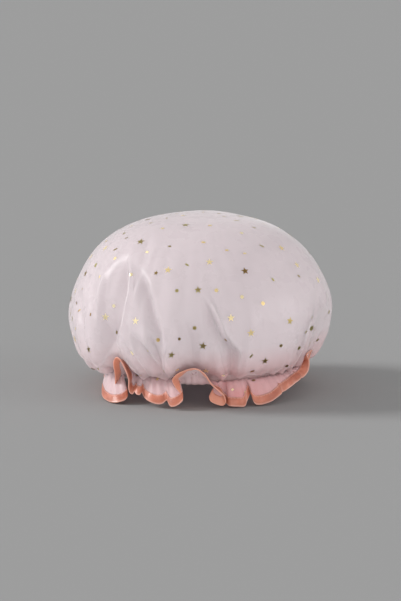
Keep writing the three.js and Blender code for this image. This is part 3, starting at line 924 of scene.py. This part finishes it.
def seam(film, run, depth):
    """A line at some distances down the film's columns, and the directions outwards there."""
    line = film.at(run, depth)
    return line, unit(film.at(run, depth - 1.0) - line)


# The elastic's columns round the loop, its cords side by side and the points across each
ELASTIC_COLUMNS = 720
ELASTIC_CORDS = 7
CORD_POINTS = 6
CORD_HEIGHT = 0.16
RIB_HEIGHT = 0.05
EDGE_DROP = 0.25
ELASTIC_THICKNESS = 0.72


def elastic_grid():
    """A flat knitted elastic: cords side by side, and small crosswise ribs."""
    angle = np.linspace(0, 2 * math.pi, ELASTIC_COLUMNS, endpoint=False)
    share = np.linspace(0, 1, ELASTIC_CORDS * CORD_POINTS + 1)
    height = elastic_high[2] - share * (elastic_high[2] - elastic_low[2])
    cords = CORD_HEIGHT * np.abs(np.sin(math.pi * ELASTIC_CORDS * share))
    ribs = RIB_HEIGHT * np.sin(angle * ELASTIC_COLUMNS / 4)
    edge = EDGE_DROP * (1 - np.sin(math.pi * np.clip(share, 0.03, 0.97)) ** 0.3)
    rows = []
    for side, back in ((1, 0), (-1, ELASTIC_THICKNESS)):
        for at in range(len(share))[::side]:
            depth = (cords[at] - edge[at] * 0.8) * side - back
            reach = LOOP_REACH - ELASTIC_DEPTH - CORD_HEIGHT + depth + ribs * side
            rows.append(round_loop(angle, reach, height[at]))
    return np.stack(rows)


# The zigzag has three rows of this many bends
ZIGZAGS = 9
ZIGZAG_MARGIN = 0.6
ZIGZAG_SWAY = 1.3
ZIGZAG_LIFT = 0.25
ZIGZAG_RADIUS = 0.2


def zigzag_line():
    """The zigzag that joins the elastic's ends, on its outer face at the back."""
    left, right = tack_low[0] + ZIGZAG_MARGIN, tack_high[0] - ZIGZAG_MARGIN
    top, foot = tack_high[2], tack_low[2]
    points = []
    for column, x in enumerate((left, (left + right) / 2, right)):
        for step in range(ZIGZAGS + 1):
            along = step / ZIGZAGS if column % 2 == 0 else 1 - step / ZIGZAGS
            sway = ZIGZAG_SWAY if step % 2 else -ZIGZAG_SWAY
            points.append((x + sway, foot + along * (top - foot)))
    reach = LOOP_REACH - ELASTIC_DEPTH + ZIGZAG_LIFT
    out = []
    for x, z in points:
        sine = (x - LOOP_MIDDLE) / reach
        out.append((x, reach * math.sqrt(1 - sine * sine) * DEPTH_SHARE, z))
    return out


def thread_tube(name, points, radius):
    """A thread along a line of points, as a mesh."""
    curve = bpy.data.curves.new(name, "CURVE")
    curve.dimensions = "3D"
    curve.bevel_depth = radius * MM
    curve.bevel_resolution = 2
    line = curve.splines.new("POLY")
    line.points.add(len(points) - 1)
    for point, place in zip(line.points, points):
        point.co = (*(np.array(place) * MM), 1)
    curve.use_fill_caps = True
    source = new_object(name, curve)
    mesh = bpy.data.meshes.new_from_object(source)
    bpy.data.objects.remove(source)
    mesh.name = name
    for face in mesh.polygons:
        face.use_smooth = True
    return new_object(name, mesh)


# Foil print that the photograph shows, as pixels. Stars and dots also have a radius in
# millimetres, and bars a half length, a half width and a turn in degrees. Pale foil has a
# painted glint of something bright in its colour, and dark foil a painted reflection of shade.
PALE, DARK = 1, 0
STARS_SEEN = [
    (245, 271, 3.9, DARK), (198, 290, 3.7, DARK), (290, 321, 3.9, DARK), (203, 346, 3.9, DARK),
    (265, 361, 3.8, DARK), (88.5, 349.5, 3.9, DARK), (171.5, 355, 3.6, DARK), (206, 371, 3.8, PALE),
    (251, 333, 3.9, PALE), (231, 318, 3.8, PALE), (209.5, 262, 3.7, PALE), (168, 270, 3.7, PALE),
    (281.5, 248, 3.7, PALE), (297, 265, 3.7, PALE), (318, 280, 3.8, PALE), (105.5, 317, 3.8, PALE),
    (135.5, 321, 3.8, PALE), (140.7, 241.6, 4.1, DARK), (185.5, 225, 4.0, DARK),
    (85.5, 273.5, 3.8, DARK), (156, 273, 2.4, DARK),
]
DOTS_SEEN = [
    (311.6, 328.2, 2.5, DARK), (194.6, 328, 1.8, DARK), (225.7, 340, 1.7, DARK),
    (158, 340, 1.8, DARK), (176.8, 290.7, 1.6, DARK), (179.3, 339, 1.4, DARK),
    (281, 345.7, 1.6, DARK), (286.8, 366, 1.6, DARK), (246, 392.7, 1.8, DARK),
    (216.4, 290.4, 1.8, PALE), (242, 297, 1.7, PALE), (113.8, 306, 1.6, PALE),
    (151.6, 305.5, 1.6, PALE), (162.5, 228.4, 1.7, PALE), (210, 225.5, 1.8, PALE),
    (241.6, 233, 1.7, PALE), (75.4, 328.6, 1.5, PALE), (115, 258.4, 1.7, PALE),
    (263, 303.4, 1.9, PALE), (131, 274.6, 1.7, PALE), (157.5, 379, 1.5, PALE),
    (299, 348, 2.0, DARK),
]
BARS_SEEN = [
    (115.5, 249.3, 2.6, 0.9, 32, DARK), (126.4, 238, 1.8, 0.7, 40, DARK),
    (150.7, 223, 1.8, 0.8, 45, DARK), (254, 227.5, 1.9, 0.9, -40, DARK),
    (261.8, 246, 2.4, 0.8, -42, DARK), (236.4, 220.5, 2.5, 0.9, -30, DARK),
    (224, 216.4, 1.8, 0.9, -8, DARK), (187, 264.8, 1.9, 0.8, -35, DARK),
    (203.4, 242.3, 2.0, 1.1, -10, PALE), (169.6, 246.3, 1.6, 0.9, -8, DARK),
    (226.8, 250.2, 1.6, 0.9, 0, PALE), (244.8, 253.4, 1.6, 0.8, 0, PALE),
    (298.8, 276, 1.9, 0.8, -42, DARK), (273, 279.6, 1.9, 0.9, -60, DARK),
    (147, 252, 2.0, 1.1, -10, PALE), (99.5, 276.8, 1.6, 0.7, 85, DARK),
    (90.5, 314.5, 1.6, 0.7, 80, DARK), (116.8, 332.3, 1.8, 0.9, 75, DARK),
    (251.3, 356, 2.1, 0.9, 48, DARK), (252.3, 371.3, 2.5, 1.2, 12, DARK),
    (253.6, 380.2, 1.8, 1.0, 10, DARK), (312, 317.5, 1.7, 0.8, 45, DARK),
    (306, 332, 1.7, 0.8, 50, DARK), (317.5, 340, 1.8, 0.8, 50, DARK),
    (223, 375.5, 2.6, 0.9, -8, PALE), (163.8, 371.3, 1.9, 0.8, -55, DARK),
    (177.3, 369.8, 1.9, 0.8, 25, PALE), (136.4, 375.5, 1.2, 0.8, 0, DARK),
    (140.4, 375.5, 1.2, 0.8, 0, DARK), (98, 368.8, 1.3, 1.0, 0, DARK),
    (132, 353.2, 2.2, 0.8, -55, PALE), (329, 312, 1.7, 0.7, 80, DARK),
    (148, 350.7, 1.7, 1.0, 25, DARK), (232.5, 389.6, 1.3, 1.0, 30, PALE),
]
STAR_CORNERS = 10
STAR_INNER_SHARE = 0.42
DOT_CORNERS = 14
BAR_END_POINTS = 6
FOIL_THICKNESS = 0.05
FOIL_LIFT = 0.06
PRINT_SEED = 23
PRINT_SPACING = 15.0
PRINT_TRIES = 5000
# Share of scattered motifs whose foil gets the painted glint
GLINT_CHANCE = 0.45
STAR_CHANCE, DOT_CHANCE = 0.3, 0.6
STAR_RADII, DOT_RADII, BAR_LENGTHS = (3.5, 3.9), (1.4, 2.2), (1.6, 2.6)
BAR_WIDTH_SHARE = 0.38
STAR_TILT = 12

# Motifs stand upright by this direction. A motif is pressed on within some millimetres, where
# the film doesn't turn away from it by more than this share.
MOTIF_UPRIGHT = np.array([0.0, 0.12, 1.0])
PRESS_REACH = 6
PRESS_FACING = 0.2
# Nothing is scattered where the front faces the camera, or on the channel and the ruffle's end
SEEN_FACING, SEEN_ANGLE = 0.1, 100
PRINTED_RUFFLE_ROWS = 8
CHANNEL_MARGINS = (6, 2)


def star_outline(radius):
    corner = np.arange(STAR_CORNERS)
    turns = corner * math.pi / 5 + math.pi / 2
    sizes = np.where(corner % 2 == 0, radius, radius * STAR_INNER_SHARE)
    return np.stack([sizes * np.cos(turns), sizes * np.sin(turns)], axis=1)


def dot_outline(radius):
    turns = np.linspace(0, 2 * math.pi, DOT_CORNERS, endpoint=False)
    return radius * np.stack([np.cos(turns), np.sin(turns)], axis=1)


def bar_outline(half_length, half_width):
    turns = np.linspace(-math.pi / 2, math.pi / 2, BAR_END_POINTS)
    end = half_width * np.stack([np.cos(turns), np.sin(turns)], axis=1)
    middle = np.array([half_length - half_width, 0])
    return np.concatenate([end + middle, -end - middle])


def surface_tree(grid):
    points = [Vector(point) for point in grid.reshape(-1, 3)]
    faces = [tuple(face) for face in grid_faces(*grid.shape[:2]).tolist()]
    return BVHTree.FromPolygons(points, faces)


def press_on(tree, outline, centre, normal, angle):
    """An outline laid flat on the film at a point, and pressed onto it."""
    normal = unit(np.array(normal))
    side = unit(np.cross(MOTIF_UPRIGHT, normal))
    above = np.cross(normal, side)
    turn = math.radians(angle)
    u = side * math.cos(turn) + above * math.sin(turn)
    v = above * math.cos(turn) - side * math.sin(turn)
    flat = np.concatenate([[[0, 0]], outline * 0.5, outline])
    points = np.array(centre) + flat[:, :1] * u + flat[:, 1:] * v
    low, high = [], []
    for point in points:
        hit, out, _, _ = tree.find_nearest(Vector(point), PRESS_REACH)
        if hit is None or out.dot(Vector(normal)) < PRESS_FACING:
            return None
        place, out = np.array(hit), np.array(out)
        low.append(place + out * FOIL_LIFT)
        high.append(place + out * (FOIL_LIFT + FOIL_THICKNESS))
    return np.array(high + low)


def motif_faces(corners):
    """Triangles of a motif with a middle, an inner ring and an outer ring, on both faces."""
    faces = []
    below = 1 + 2 * corners
    for corner in range(corners):
        following = (corner + 1) % corners
        a, b = 1 + corner, 1 + following
        c, d = a + corners, b + corners
        for start, flip in ((0, False), (below, True)):
            for face in ((0, a, b), (a, c, d), (a, d, b)):
                faces.append([start + v for v in (reversed(face) if flip else face)])
        faces.append([c, c + below, d + below])
        faces.append([c, d + below, d])
    return np.array(faces)


FOIL_KINDS = ["stars", "dots", "bars"]
FOIL_TONES = {PALE: "pale", DARK: "dark"}


class Print:
    """Foil motifs of one kind, gathered into one mesh."""

    def __init__(self):
        self.points, self.faces, self.count = [], [], 0

    def add(self, pressed, corners):
        self.points.append(pressed)
        self.faces.append(motif_faces(corners) + self.count)
        self.count += len(pressed)

    def piece(self, name):
        piece = new_mesh(name, np.concatenate(self.points), np.concatenate(self.faces))
        piece.data.polygons.foreach_set("use_smooth", np.zeros(len(piece.data.polygons), bool))
        return piece


class Foil:
    """Stars, dots and bars on the outer film, gathered by kind and tone."""

    def __init__(self, film):
        self.film = film
        self.tree = surface_tree(film.grid)
        self.prints = {(kind, tone): Print() for kind in FOIL_KINDS for tone in FOIL_TONES}
        self.random = np.random.default_rng(PRINT_SEED)
        self.taken = []

    def press(self, kind, tone, outline, centre, normal, angle):
        pressed = press_on(self.tree, outline, centre, normal, angle)
        if pressed is not None:
            self.prints[kind, tone].add(pressed, len(outline))
            self.taken.append(np.array(centre))

    def aim(self, kind, tone, across, down, outline, angle=0):
        sight = Vector(sight_line(across, down))
        hit, normal, _, _ = self.tree.ray_cast(Vector(CAMERA), sight)
        if hit is not None:
            self.press(kind, tone, outline, hit, normal, angle)

    def print_seen(self):
        """The motifs that the photograph shows."""
        for across, down, radius, tone in STARS_SEEN:
            tilt = self.random.uniform(-STAR_TILT, STAR_TILT)
            self.aim("stars", tone, across, down, star_outline(radius), tilt)
        for across, down, radius, tone in DOTS_SEEN:
            self.aim("dots", tone, across, down, dot_outline(radius))
        for across, down, half_length, half_width, angle, tone in BARS_SEEN:
            self.aim("bars", tone, across, down, bar_outline(half_length, half_width), angle)

    def free(self, row, column):
        """Whether a scattered motif may lie at a point of the film."""
        film = self.film
        before, after = CHANNEL_MARGINS
        if film.crown_rows - before < row < film.crown_rows + CHANNEL_ROWS + after:
            return False
        if -(film.normals[row, column] @ AHEAD) > SEEN_FACING and abs(film.foot[column]) < SEEN_ANGLE:
            return False
        centre = film.grid[row, column]
        return min(np.linalg.norm(centre - other) for other in self.taken) >= PRINT_SPACING

    def scatter_one(self, centre, normal):
        random = self.random
        chance, angle = random.uniform(0, 1), random.uniform(-90, 90)
        tone = PALE if random.uniform(0, 1) < GLINT_CHANCE else DARK
        if chance < STAR_CHANCE:
            self.press("stars", tone, star_outline(random.uniform(*STAR_RADII)), centre, normal, angle)
        elif chance < DOT_CHANCE:
            self.press("dots", tone, dot_outline(random.uniform(*DOT_RADII)), centre, normal, 0)
        else:
            half = random.uniform(*BAR_LENGTHS)
            outline = bar_outline(half, half * BAR_WIDTH_SHARE)
            self.press("bars", tone, outline, centre, normal, angle)

    def scatter(self):
        """Motifs out of the photograph's sight, as many to an area everywhere."""
        grid = self.film.grid
        rows = self.film.crown_rows + CHANNEL_ROWS + PRINTED_RUFFLE_ROWS
        upper = grid[: rows - 1]
        area = np.linalg.norm(grid[1:rows] - upper, axis=2)
        area *= np.linalg.norm(np.roll(grid, -1, axis=1)[: rows - 1] - upper, axis=2)
        weights = area.ravel() / area.sum()
        for pick in self.random.choice(area.size, PRINT_TRIES, p=weights):
            place = divmod(int(pick), grid.shape[1])
            if self.free(*place):
                self.scatter_one(grid[place], self.film.normals[place])

    def pieces(self):
        """The finished meshes, each with its tone's name."""
        for (kind, tone), each in self.prints.items():
            yield each.piece(f"foil_{kind}_{FOIL_TONES[tone]}"), FOIL_TONES[tone]


# Sockets of a colour Mix node
MIX_FACTOR, MIX_FIRST, MIX_SECOND, MIX_RESULT = 0, 6, 7, 2
# Most of a noise lies between these values
NOISE_SPAN = (0.3, 0.7)


class Look:
    """A material whose nodes are added one by one."""

    def __init__(self, name):
        self.name = name
        self.material = bpy.data.materials.new(name + "_look")
        self.material.use_nodes = True
        self.tree = self.material.node_tree
        self.shader = self.tree.nodes["Principled BSDF"]
        self.output = self.tree.nodes["Material Output"]

    def feed(self, socket, value):
        """Links a socket to another one, or sets a number, vector or colour on it."""
        if isinstance(value, bpy.types.NodeSocket):
            self.tree.links.new(value, socket)
        elif socket.type == "RGBA":
            socket.default_value = (*value, 1)
        else:
            socket.default_value = value

    def node(self, kind, inputs=None, **settings):
        made = self.tree.nodes.new(kind)
        for key, value in settings.items():
            setattr(made, key, value)
        for key, value in (inputs or {}).items():
            self.feed(made.inputs[key], value)
        return made

    def set(self, **values):
        for name, value in values.items():
            self.feed(self.shader.inputs[name.replace("_", " ")], value)

    def place(self, kind="Object"):
        return self.node("ShaderNodeTexCoord").outputs[kind]

    def stretched(self, source, scale):
        return self.node("ShaderNodeMapping", {"Vector": source, "Scale": scale}).outputs["Vector"]

    def split(self, source):
        return self.node("ShaderNodeSeparateXYZ", {0: source}).outputs

    def noise(self, source, scale, detail=3.0):
        inputs = {"Vector": source, "Scale": scale, "Detail": detail}
        return self.node("ShaderNodeTexNoise", inputs).outputs["Fac"]

    def wave(self, source, scale, direction, distortion=0.0):
        inputs = {"Vector": source, "Scale": scale, "Distortion": distortion}
        return self.node("ShaderNodeTexWave", inputs, bands_direction=direction).outputs["Fac"]

    def ramp(self, source, low, high, start, end):
        inputs = {"Value": source, "From Min": low, "From Max": high, "To Min": start, "To Max": end}
        return self.node("ShaderNodeMapRange", inputs).outputs["Result"]

    def spread(self, noise, start, end):
        """A noise spread between two values."""
        return self.ramp(noise, *NOISE_SPAN, start, end)

    def sum(self, operation, first, second):
        return self.node("ShaderNodeMath", {0: first, 1: second}, operation=operation).outputs[0]

    def blend(self, factor, first, second):
        inputs = {MIX_FACTOR: factor, MIX_FIRST: first, MIX_SECOND: second}
        return self.node("ShaderNodeMix", inputs, data_type="RGBA").outputs[MIX_RESULT]

    def bump(self, height, distance, strength, after=None):
        inputs = {"Height": height, "Distance": distance, "Strength": strength}
        made = self.node("ShaderNodeBump", inputs)
        if after is not None:
            self.feed(made.inputs["Normal"], after)
        self.set(Normal=made.outputs["Normal"])
        return made.outputs["Normal"]

    def show_mixed(self, share, first, second):
        """Mixes two shaders and shows the result."""
        mixed = self.node("ShaderNodeMixShader", {0: share, 1: first, 2: second}).outputs[0]
        self.feed(self.output.inputs["Surface"], mixed)
        return mixed

    def let_light_through(self, colour, share):
        """Mixes in light that shines through the sheet from its other side."""
        through = self.node("ShaderNodeBsdfTranslucent", {"Color": colour}).outputs[0]
        return self.show_mixed(share, self.shader.outputs[0], through)

    def let_through(self, shader, opacity):
        """Mixes in a clear share, so that what lies behind the sheet shows."""
        clear = self.node("ShaderNodeBsdfTransparent").outputs[0]
        self.show_mixed(opacity, clear, shader)


SHEER_WHITE = (0.90, 0.825, 0.845)
# A pink painted into both films near the hem, as a painted glow of the ribbon's coral light
CORAL_GLOW_PINK = (0.92, 0.46, 0.45)
LINER_WHITE = (0.88, 0.81, 0.83)
# The painted pink glow, which stands in for the ribbon's coral light shining through and bouncing onto
# the films, grows downwards and towards the right between these places, in metres
HEM_GLOW_HEIGHTS = (0.006, 0.058)
HEM_GLOW_SIDES = (-0.095, 0.01)


def film_colour_with_glow(look, white, pink, most):
    """Pale film with a painted pink glow towards the hem, in place of the ribbon's coral light."""
    split = look.split(look.place())
    low = look.ramp(split["Z"], *HEM_GLOW_HEIGHTS, most, 0.0)
    side = look.ramp(split["X"], *HEM_GLOW_SIDES, 0.35, 1.0)
    patchy = look.sum("MULTIPLY", low, look.spread(look.noise(look.place(), 28), 0.6, 1.2))
    return look.blend(look.sum("MULTIPLY", patchy, side), white, pink)


def sheer_look():
    """Sheer glossy outer film with a fine weave and faint crinkles."""
    look = Look("sheer_film")
    # Painted pink glow of the ribbon's coral light near the hem
    colour = film_colour_with_glow(look, SHEER_WHITE, CORAL_GLOW_PINK, 0.85)
    cloudy = look.noise(look.place(), 60, 4)
    look.set(Base_Color=colour, Sheen_Weight=0.9, Sheen_Roughness=0.35, Specular_IOR_Level=0.45)
    look.set(Roughness=look.spread(cloudy, 0.23, 0.35))
    flat = look.place("UV")
    weave = look.sum("MAXIMUM", look.wave(flat, 0.62, "X"), look.wave(flat, 0.62, "Y"))
    crinkle = look.noise(look.place(), 210, 2)
    normal = look.bump(crinkle, 0.00012, 0.3)
    look.bump(weave, 0.00002, 0.6, normal)
    mix = look.let_light_through(colour, 0.28)
    look.let_through(mix, 0.36)
    return look


def liner_look():
    """Milky liner film, soft and a little translucent."""
    look = Look("liner_film")
    # Painted pink glow of the ribbon's coral light near the hem
    colour = film_colour_with_glow(look, LINER_WHITE, CORAL_GLOW_PINK, 0.6)
    look.set(Base_Color=colour, Sheen_Weight=0.15, Specular_IOR_Level=0.4)
    look.set(Roughness=look.spread(look.noise(look.place(), 80, 3), 0.42, 0.55))
    look.bump(look.noise(look.place(), 130, 3), 0.0003, 0.35)
    look.let_light_through(colour, 0.36)
    return look


# The satin's two tones, its inner face's colour, lightened as painted light where that face lies in
# shade, and the colour of the painted highlight on its folds and outer long edge
SATIN_TONES = (0.46, 0.115, 0.06), (0.80, 0.30, 0.19)
SATIN_INSIDE_PAINTED_LIGHT = (0.94, 0.42, 0.28)
SATIN_FOLD_HIGHLIGHT = (0.97, 0.66, 0.56)
# Millimetres round the ribbon's section, from its outer long edge to the fold and the inner face
SELVAGE = (0.3, 1.0)
FOLD_AT, FOLD_FADE = RIBBON_FACE + 0.4, (0.3, 1.3)
INNER_FACE = (RIBBON_FACE + 0.2, RIBBON_FACE + 1.2)


def satin_look():
    """Coral satin: long floats across the ribbon, a soft sheen, painted light on its inner face and
    painted highlights on its folds and outer long edge.
    """
    look = Look("satin")
    flat = look.place("UV")
    streaks = look.noise(look.stretched(flat, (0.6, 9.0, 1.0)), 1.0, 3)
    broad = look.noise(look.stretched(flat, (0.055, 0.12, 1.0)), 1.0, 2)
    tone = look.sum("ADD", look.spread(streaks, 0.0, 0.4), look.ramp(broad, 0.35, 0.65, 0.0, 0.6))
    down = look.split(flat)["Y"]
    colour = look.blend(tone, *SATIN_TONES)
    # The inner face is painted lighter, as painted light where it lies in shade
    colour = look.blend(look.ramp(down, *INNER_FACE, 0.0, 0.85), colour, SATIN_INSIDE_PAINTED_LIGHT)
    # The folds and the outer long edge are painted paler, as painted highlights
    off_fold = look.sum("ABSOLUTE", look.sum("SUBTRACT", down, FOLD_AT), 0.0)
    fold = look.ramp(off_fold, *FOLD_FADE, 0.42, 0.0)
    selvage = look.ramp(down, *SELVAGE, 0.5, 0.0)
    colour = look.blend(look.sum("MAXIMUM", fold, selvage), colour, SATIN_FOLD_HIGHLIGHT)
    look.set(Base_Color=colour, Sheen_Weight=0.2, Sheen_Roughness=0.35, Specular_IOR_Level=0.7)
    look.set(Roughness=look.spread(streaks, 0.26, 0.38), Coat_Weight=0.25, Coat_Roughness=0.3)
    normal = look.bump(look.wave(flat, 0.7, "Y", 0.4), 0.00003, 0.6)
    look.bump(look.wave(flat, 0.35, "X"), 0.00002, 0.4, normal)
    look.let_light_through(colour, 0.26)
    return look


KNIT_TONES = (0.62, 0.58, 0.56), (0.86, 0.83, 0.81)
THREAD_TONES = (0.70, 0.34, 0.28), (0.86, 0.50, 0.43)
# The pale foil's colours hold a painted glint of bright light, and the dark foil's a painted reflection
# of shade
GLINT_FOIL_TONES = (0.84, 0.64, 0.30), (0.93, 0.82, 0.54)
SHADE_FOIL_TONES = (0.27, 0.17, 0.06), (0.60, 0.54, 0.24)


def elastic_look():
    """White knitted elastic, matt and finely ribbed."""
    look = Look("elastic")
    flat = look.place("UV")
    knit = look.sum("MULTIPLY", look.wave(flat, 0.45, "X"), look.wave(flat, 0.55, "Y", 1.5))
    look.set(Base_Color=look.blend(knit, *KNIT_TONES))
    look.set(Roughness=0.85, Sheen_Weight=0.3)
    look.bump(knit, 0.0001, 0.8)
    return look


def thread_look():
    """Pink sewing thread with its twisted plies."""
    look = Look("thread")
    ply = look.wave(look.place(), 900, "DIAGONAL", 2.0)
    look.set(Base_Color=look.blend(ply, *THREAD_TONES))
    look.set(Roughness=0.5, Sheen_Weight=0.3)
    look.bump(ply, 0.00004, 0.7)
    return look


def foil_look(name, tones, metallic):
    """Hot-stamped foil between two colours, with a fine grain from the film under it."""
    look = Look(name)
    patch = look.ramp(look.noise(look.place(), 34, 1), 0.35, 0.65, 0.0, 1.0)
    grain = look.noise(look.place(), 900, 2)
    look.set(Base_Color=look.blend(patch, *tones), Metallic=metallic)
    look.set(Roughness=look.spread(grain, 0.28, 0.42))
    look.bump(grain, 0.00006, 0.6)
    return look


def glint_foil_look():
    return foil_look("pale_foil", GLINT_FOIL_TONES, 0.6)


def shade_foil_look():
    return foil_look("dark_foil", SHADE_FOIL_TONES, 1.0)


BACKGROUND = (0.325, 0.325, 0.325)
FLOOR_PAPER = (0.94, 0.94, 0.94)
FLOOR_REACH = 14000.0


def floor_look():
    """Pale paper, which the camera and reflections see as the photograph's grey."""
    look = Look("studio_floor")
    path = look.node("ShaderNodeLightPath").outputs
    mirrored = look.sum("MAXIMUM", path["Is Glossy Ray"], path["Is Transmission Ray"])
    shown = look.sum("MAXIMUM", path["Is Camera Ray"], mirrored)
    look.set(Base_Color=look.blend(shown, FLOOR_PAPER, BACKGROUND))
    look.set(Roughness=1.0, Specular_IOR_Level=0.0)
    look.bump(look.noise(look.place(), 300, 4), 0.0002, 0.2)
    return look


def make_floor():
    sides = [(-1, -1, 0), (1, -1, 0), (1, 1, 0), (-1, 1, 0)]
    floor = new_mesh("studio_floor", np.array(sides) * FLOOR_REACH, [[0, 1, 2, 3]])
    floor.data.materials.append(floor_look().material)


# Wide soft lights: name, azimuth, elevation, strength and spread. An azimuth of 0 is in front,
# and 90 at the right.
LIGHTS = [
    ("key_light", -95, 29, 2.25, 19),
    ("front_light", 4, 2, 0.9, 36),
    ("fill_light", 74, 7, 1.05, 40),
]
WORLD_STRENGTH = 0.62


def make_sun(name, azimuth, elevation, strength, spread):
    data = bpy.data.lights.new(name, "SUN")
    data.energy = strength
    data.angle = math.radians(spread)
    sun = new_object(name, data)
    turn, rise = math.radians(azimuth), math.radians(elevation)
    back = Vector((math.sin(turn) * math.cos(rise), -math.cos(turn) * math.cos(rise), math.sin(rise)))
    sun.rotation_mode = "QUATERNION"
    sun.rotation_quaternion = back.to_track_quat("Z", "Y")


def make_lights():
    world = bpy.data.worlds.new("studio")
    world.use_nodes = True
    background = world.node_tree.nodes["Background"]
    background.inputs["Color"].default_value = (1, 1, 1, 1)
    background.inputs["Strength"].default_value = WORLD_STRENGTH
    bpy.context.scene.world = world
    for light in LIGHTS:
        make_sun(*light)


# Rows of stitches lie this far inside the channel's edges, and this far below the ribbon's edge
CHANNEL_SEAM_MARGIN = 0.7
RIBBON_SEAM_MARGIN = 1.2


def finish_piece(piece, material, nodes=()):
    piece.data.materials.append(material)
    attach(piece, "root")
    if nodes:
        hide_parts(*nodes)


def make_films(film, looks):
    outer = shell("sheer_outer_film", film.grid, FILM_THICKNESS)
    finish_piece(outer, looks["sheer_film"], ["outer_film"])
    liner = shell("milky_inner_liner", liner_grid(film), FILM_THICKNESS)
    finish_piece(liner, looks["liner_film"], ["inner_liner"])


def make_ribbon(film, looks):
    ribbon = ring_body("coral_satin_ribbon", ribbon_grid(film))
    finish_piece(ribbon, looks["satin"], ["satin_ribbon"])


def make_threads(film, looks):
    """Stitches of the two channel rows and of the ribbon row, on both sides."""
    top, foot = film.run[film.crown_rows - 1], film.run[-1]
    height = CHANNEL_TOP - CHANNEL_FLOOR
    behind = CHANNEL_GAP + FILM_THICKNESS
    inner, outer = RIBBON_INSIDE + RIBBON_THICKNESS, RIBBON_OUTSIDE - RIBBON_THICKNESS
    rows = [
        ("channel_upper", top + CHANNEL_SEAM_MARGIN, 0, behind),
        ("channel_lower", top + (height - CHANNEL_SEAM_MARGIN), 0, behind),
        ("ribbon", foot - (RIBBON_FACE - RIBBON_SEAM_MARGIN), outer, inner),
    ]
    for name, run, front, back in rows:
        for side, depth, sign in (("needle", front, 1), ("bobbin", back, -1)):
            line, normals = seam(film, run, depth)
            piece = stitches(f"{name}_{side}_stitches", line, normals * sign)
            finish_piece(piece, looks["thread"], [f"{name}_{side}_thread"])


def make_elastic(looks):
    elastic = ring_body("knitted_elastic", elastic_grid())
    finish_piece(elastic, looks["elastic"], ["elastic_loop"])
    tack = thread_tube("zigzag_join", zigzag_line(), ZIGZAG_RADIUS)
    finish_piece(tack, looks["thread"], ["elastic_join_tack"])


def main():
    make_camera()
    bpy.context.scene.view_settings.view_transform = "Standard"
    make_lights()
    make_floor()
    makers = [sheer_look, liner_look, satin_look, elastic_look, thread_look]
    makers += [glint_foil_look, shade_foil_look]
    looks = {made.name: made.material for made in (maker() for maker in makers)}
    film = Film()
    make_films(film, looks)
    make_ribbon(film, looks)
    make_threads(film, looks)
    make_elastic(looks)
    foil = Foil(film)
    foil.print_seen()
    foil.scatter()
    for piece, tone in foil.pieces():
        finish_piece(piece, looks[f"{tone}_foil"])


main()
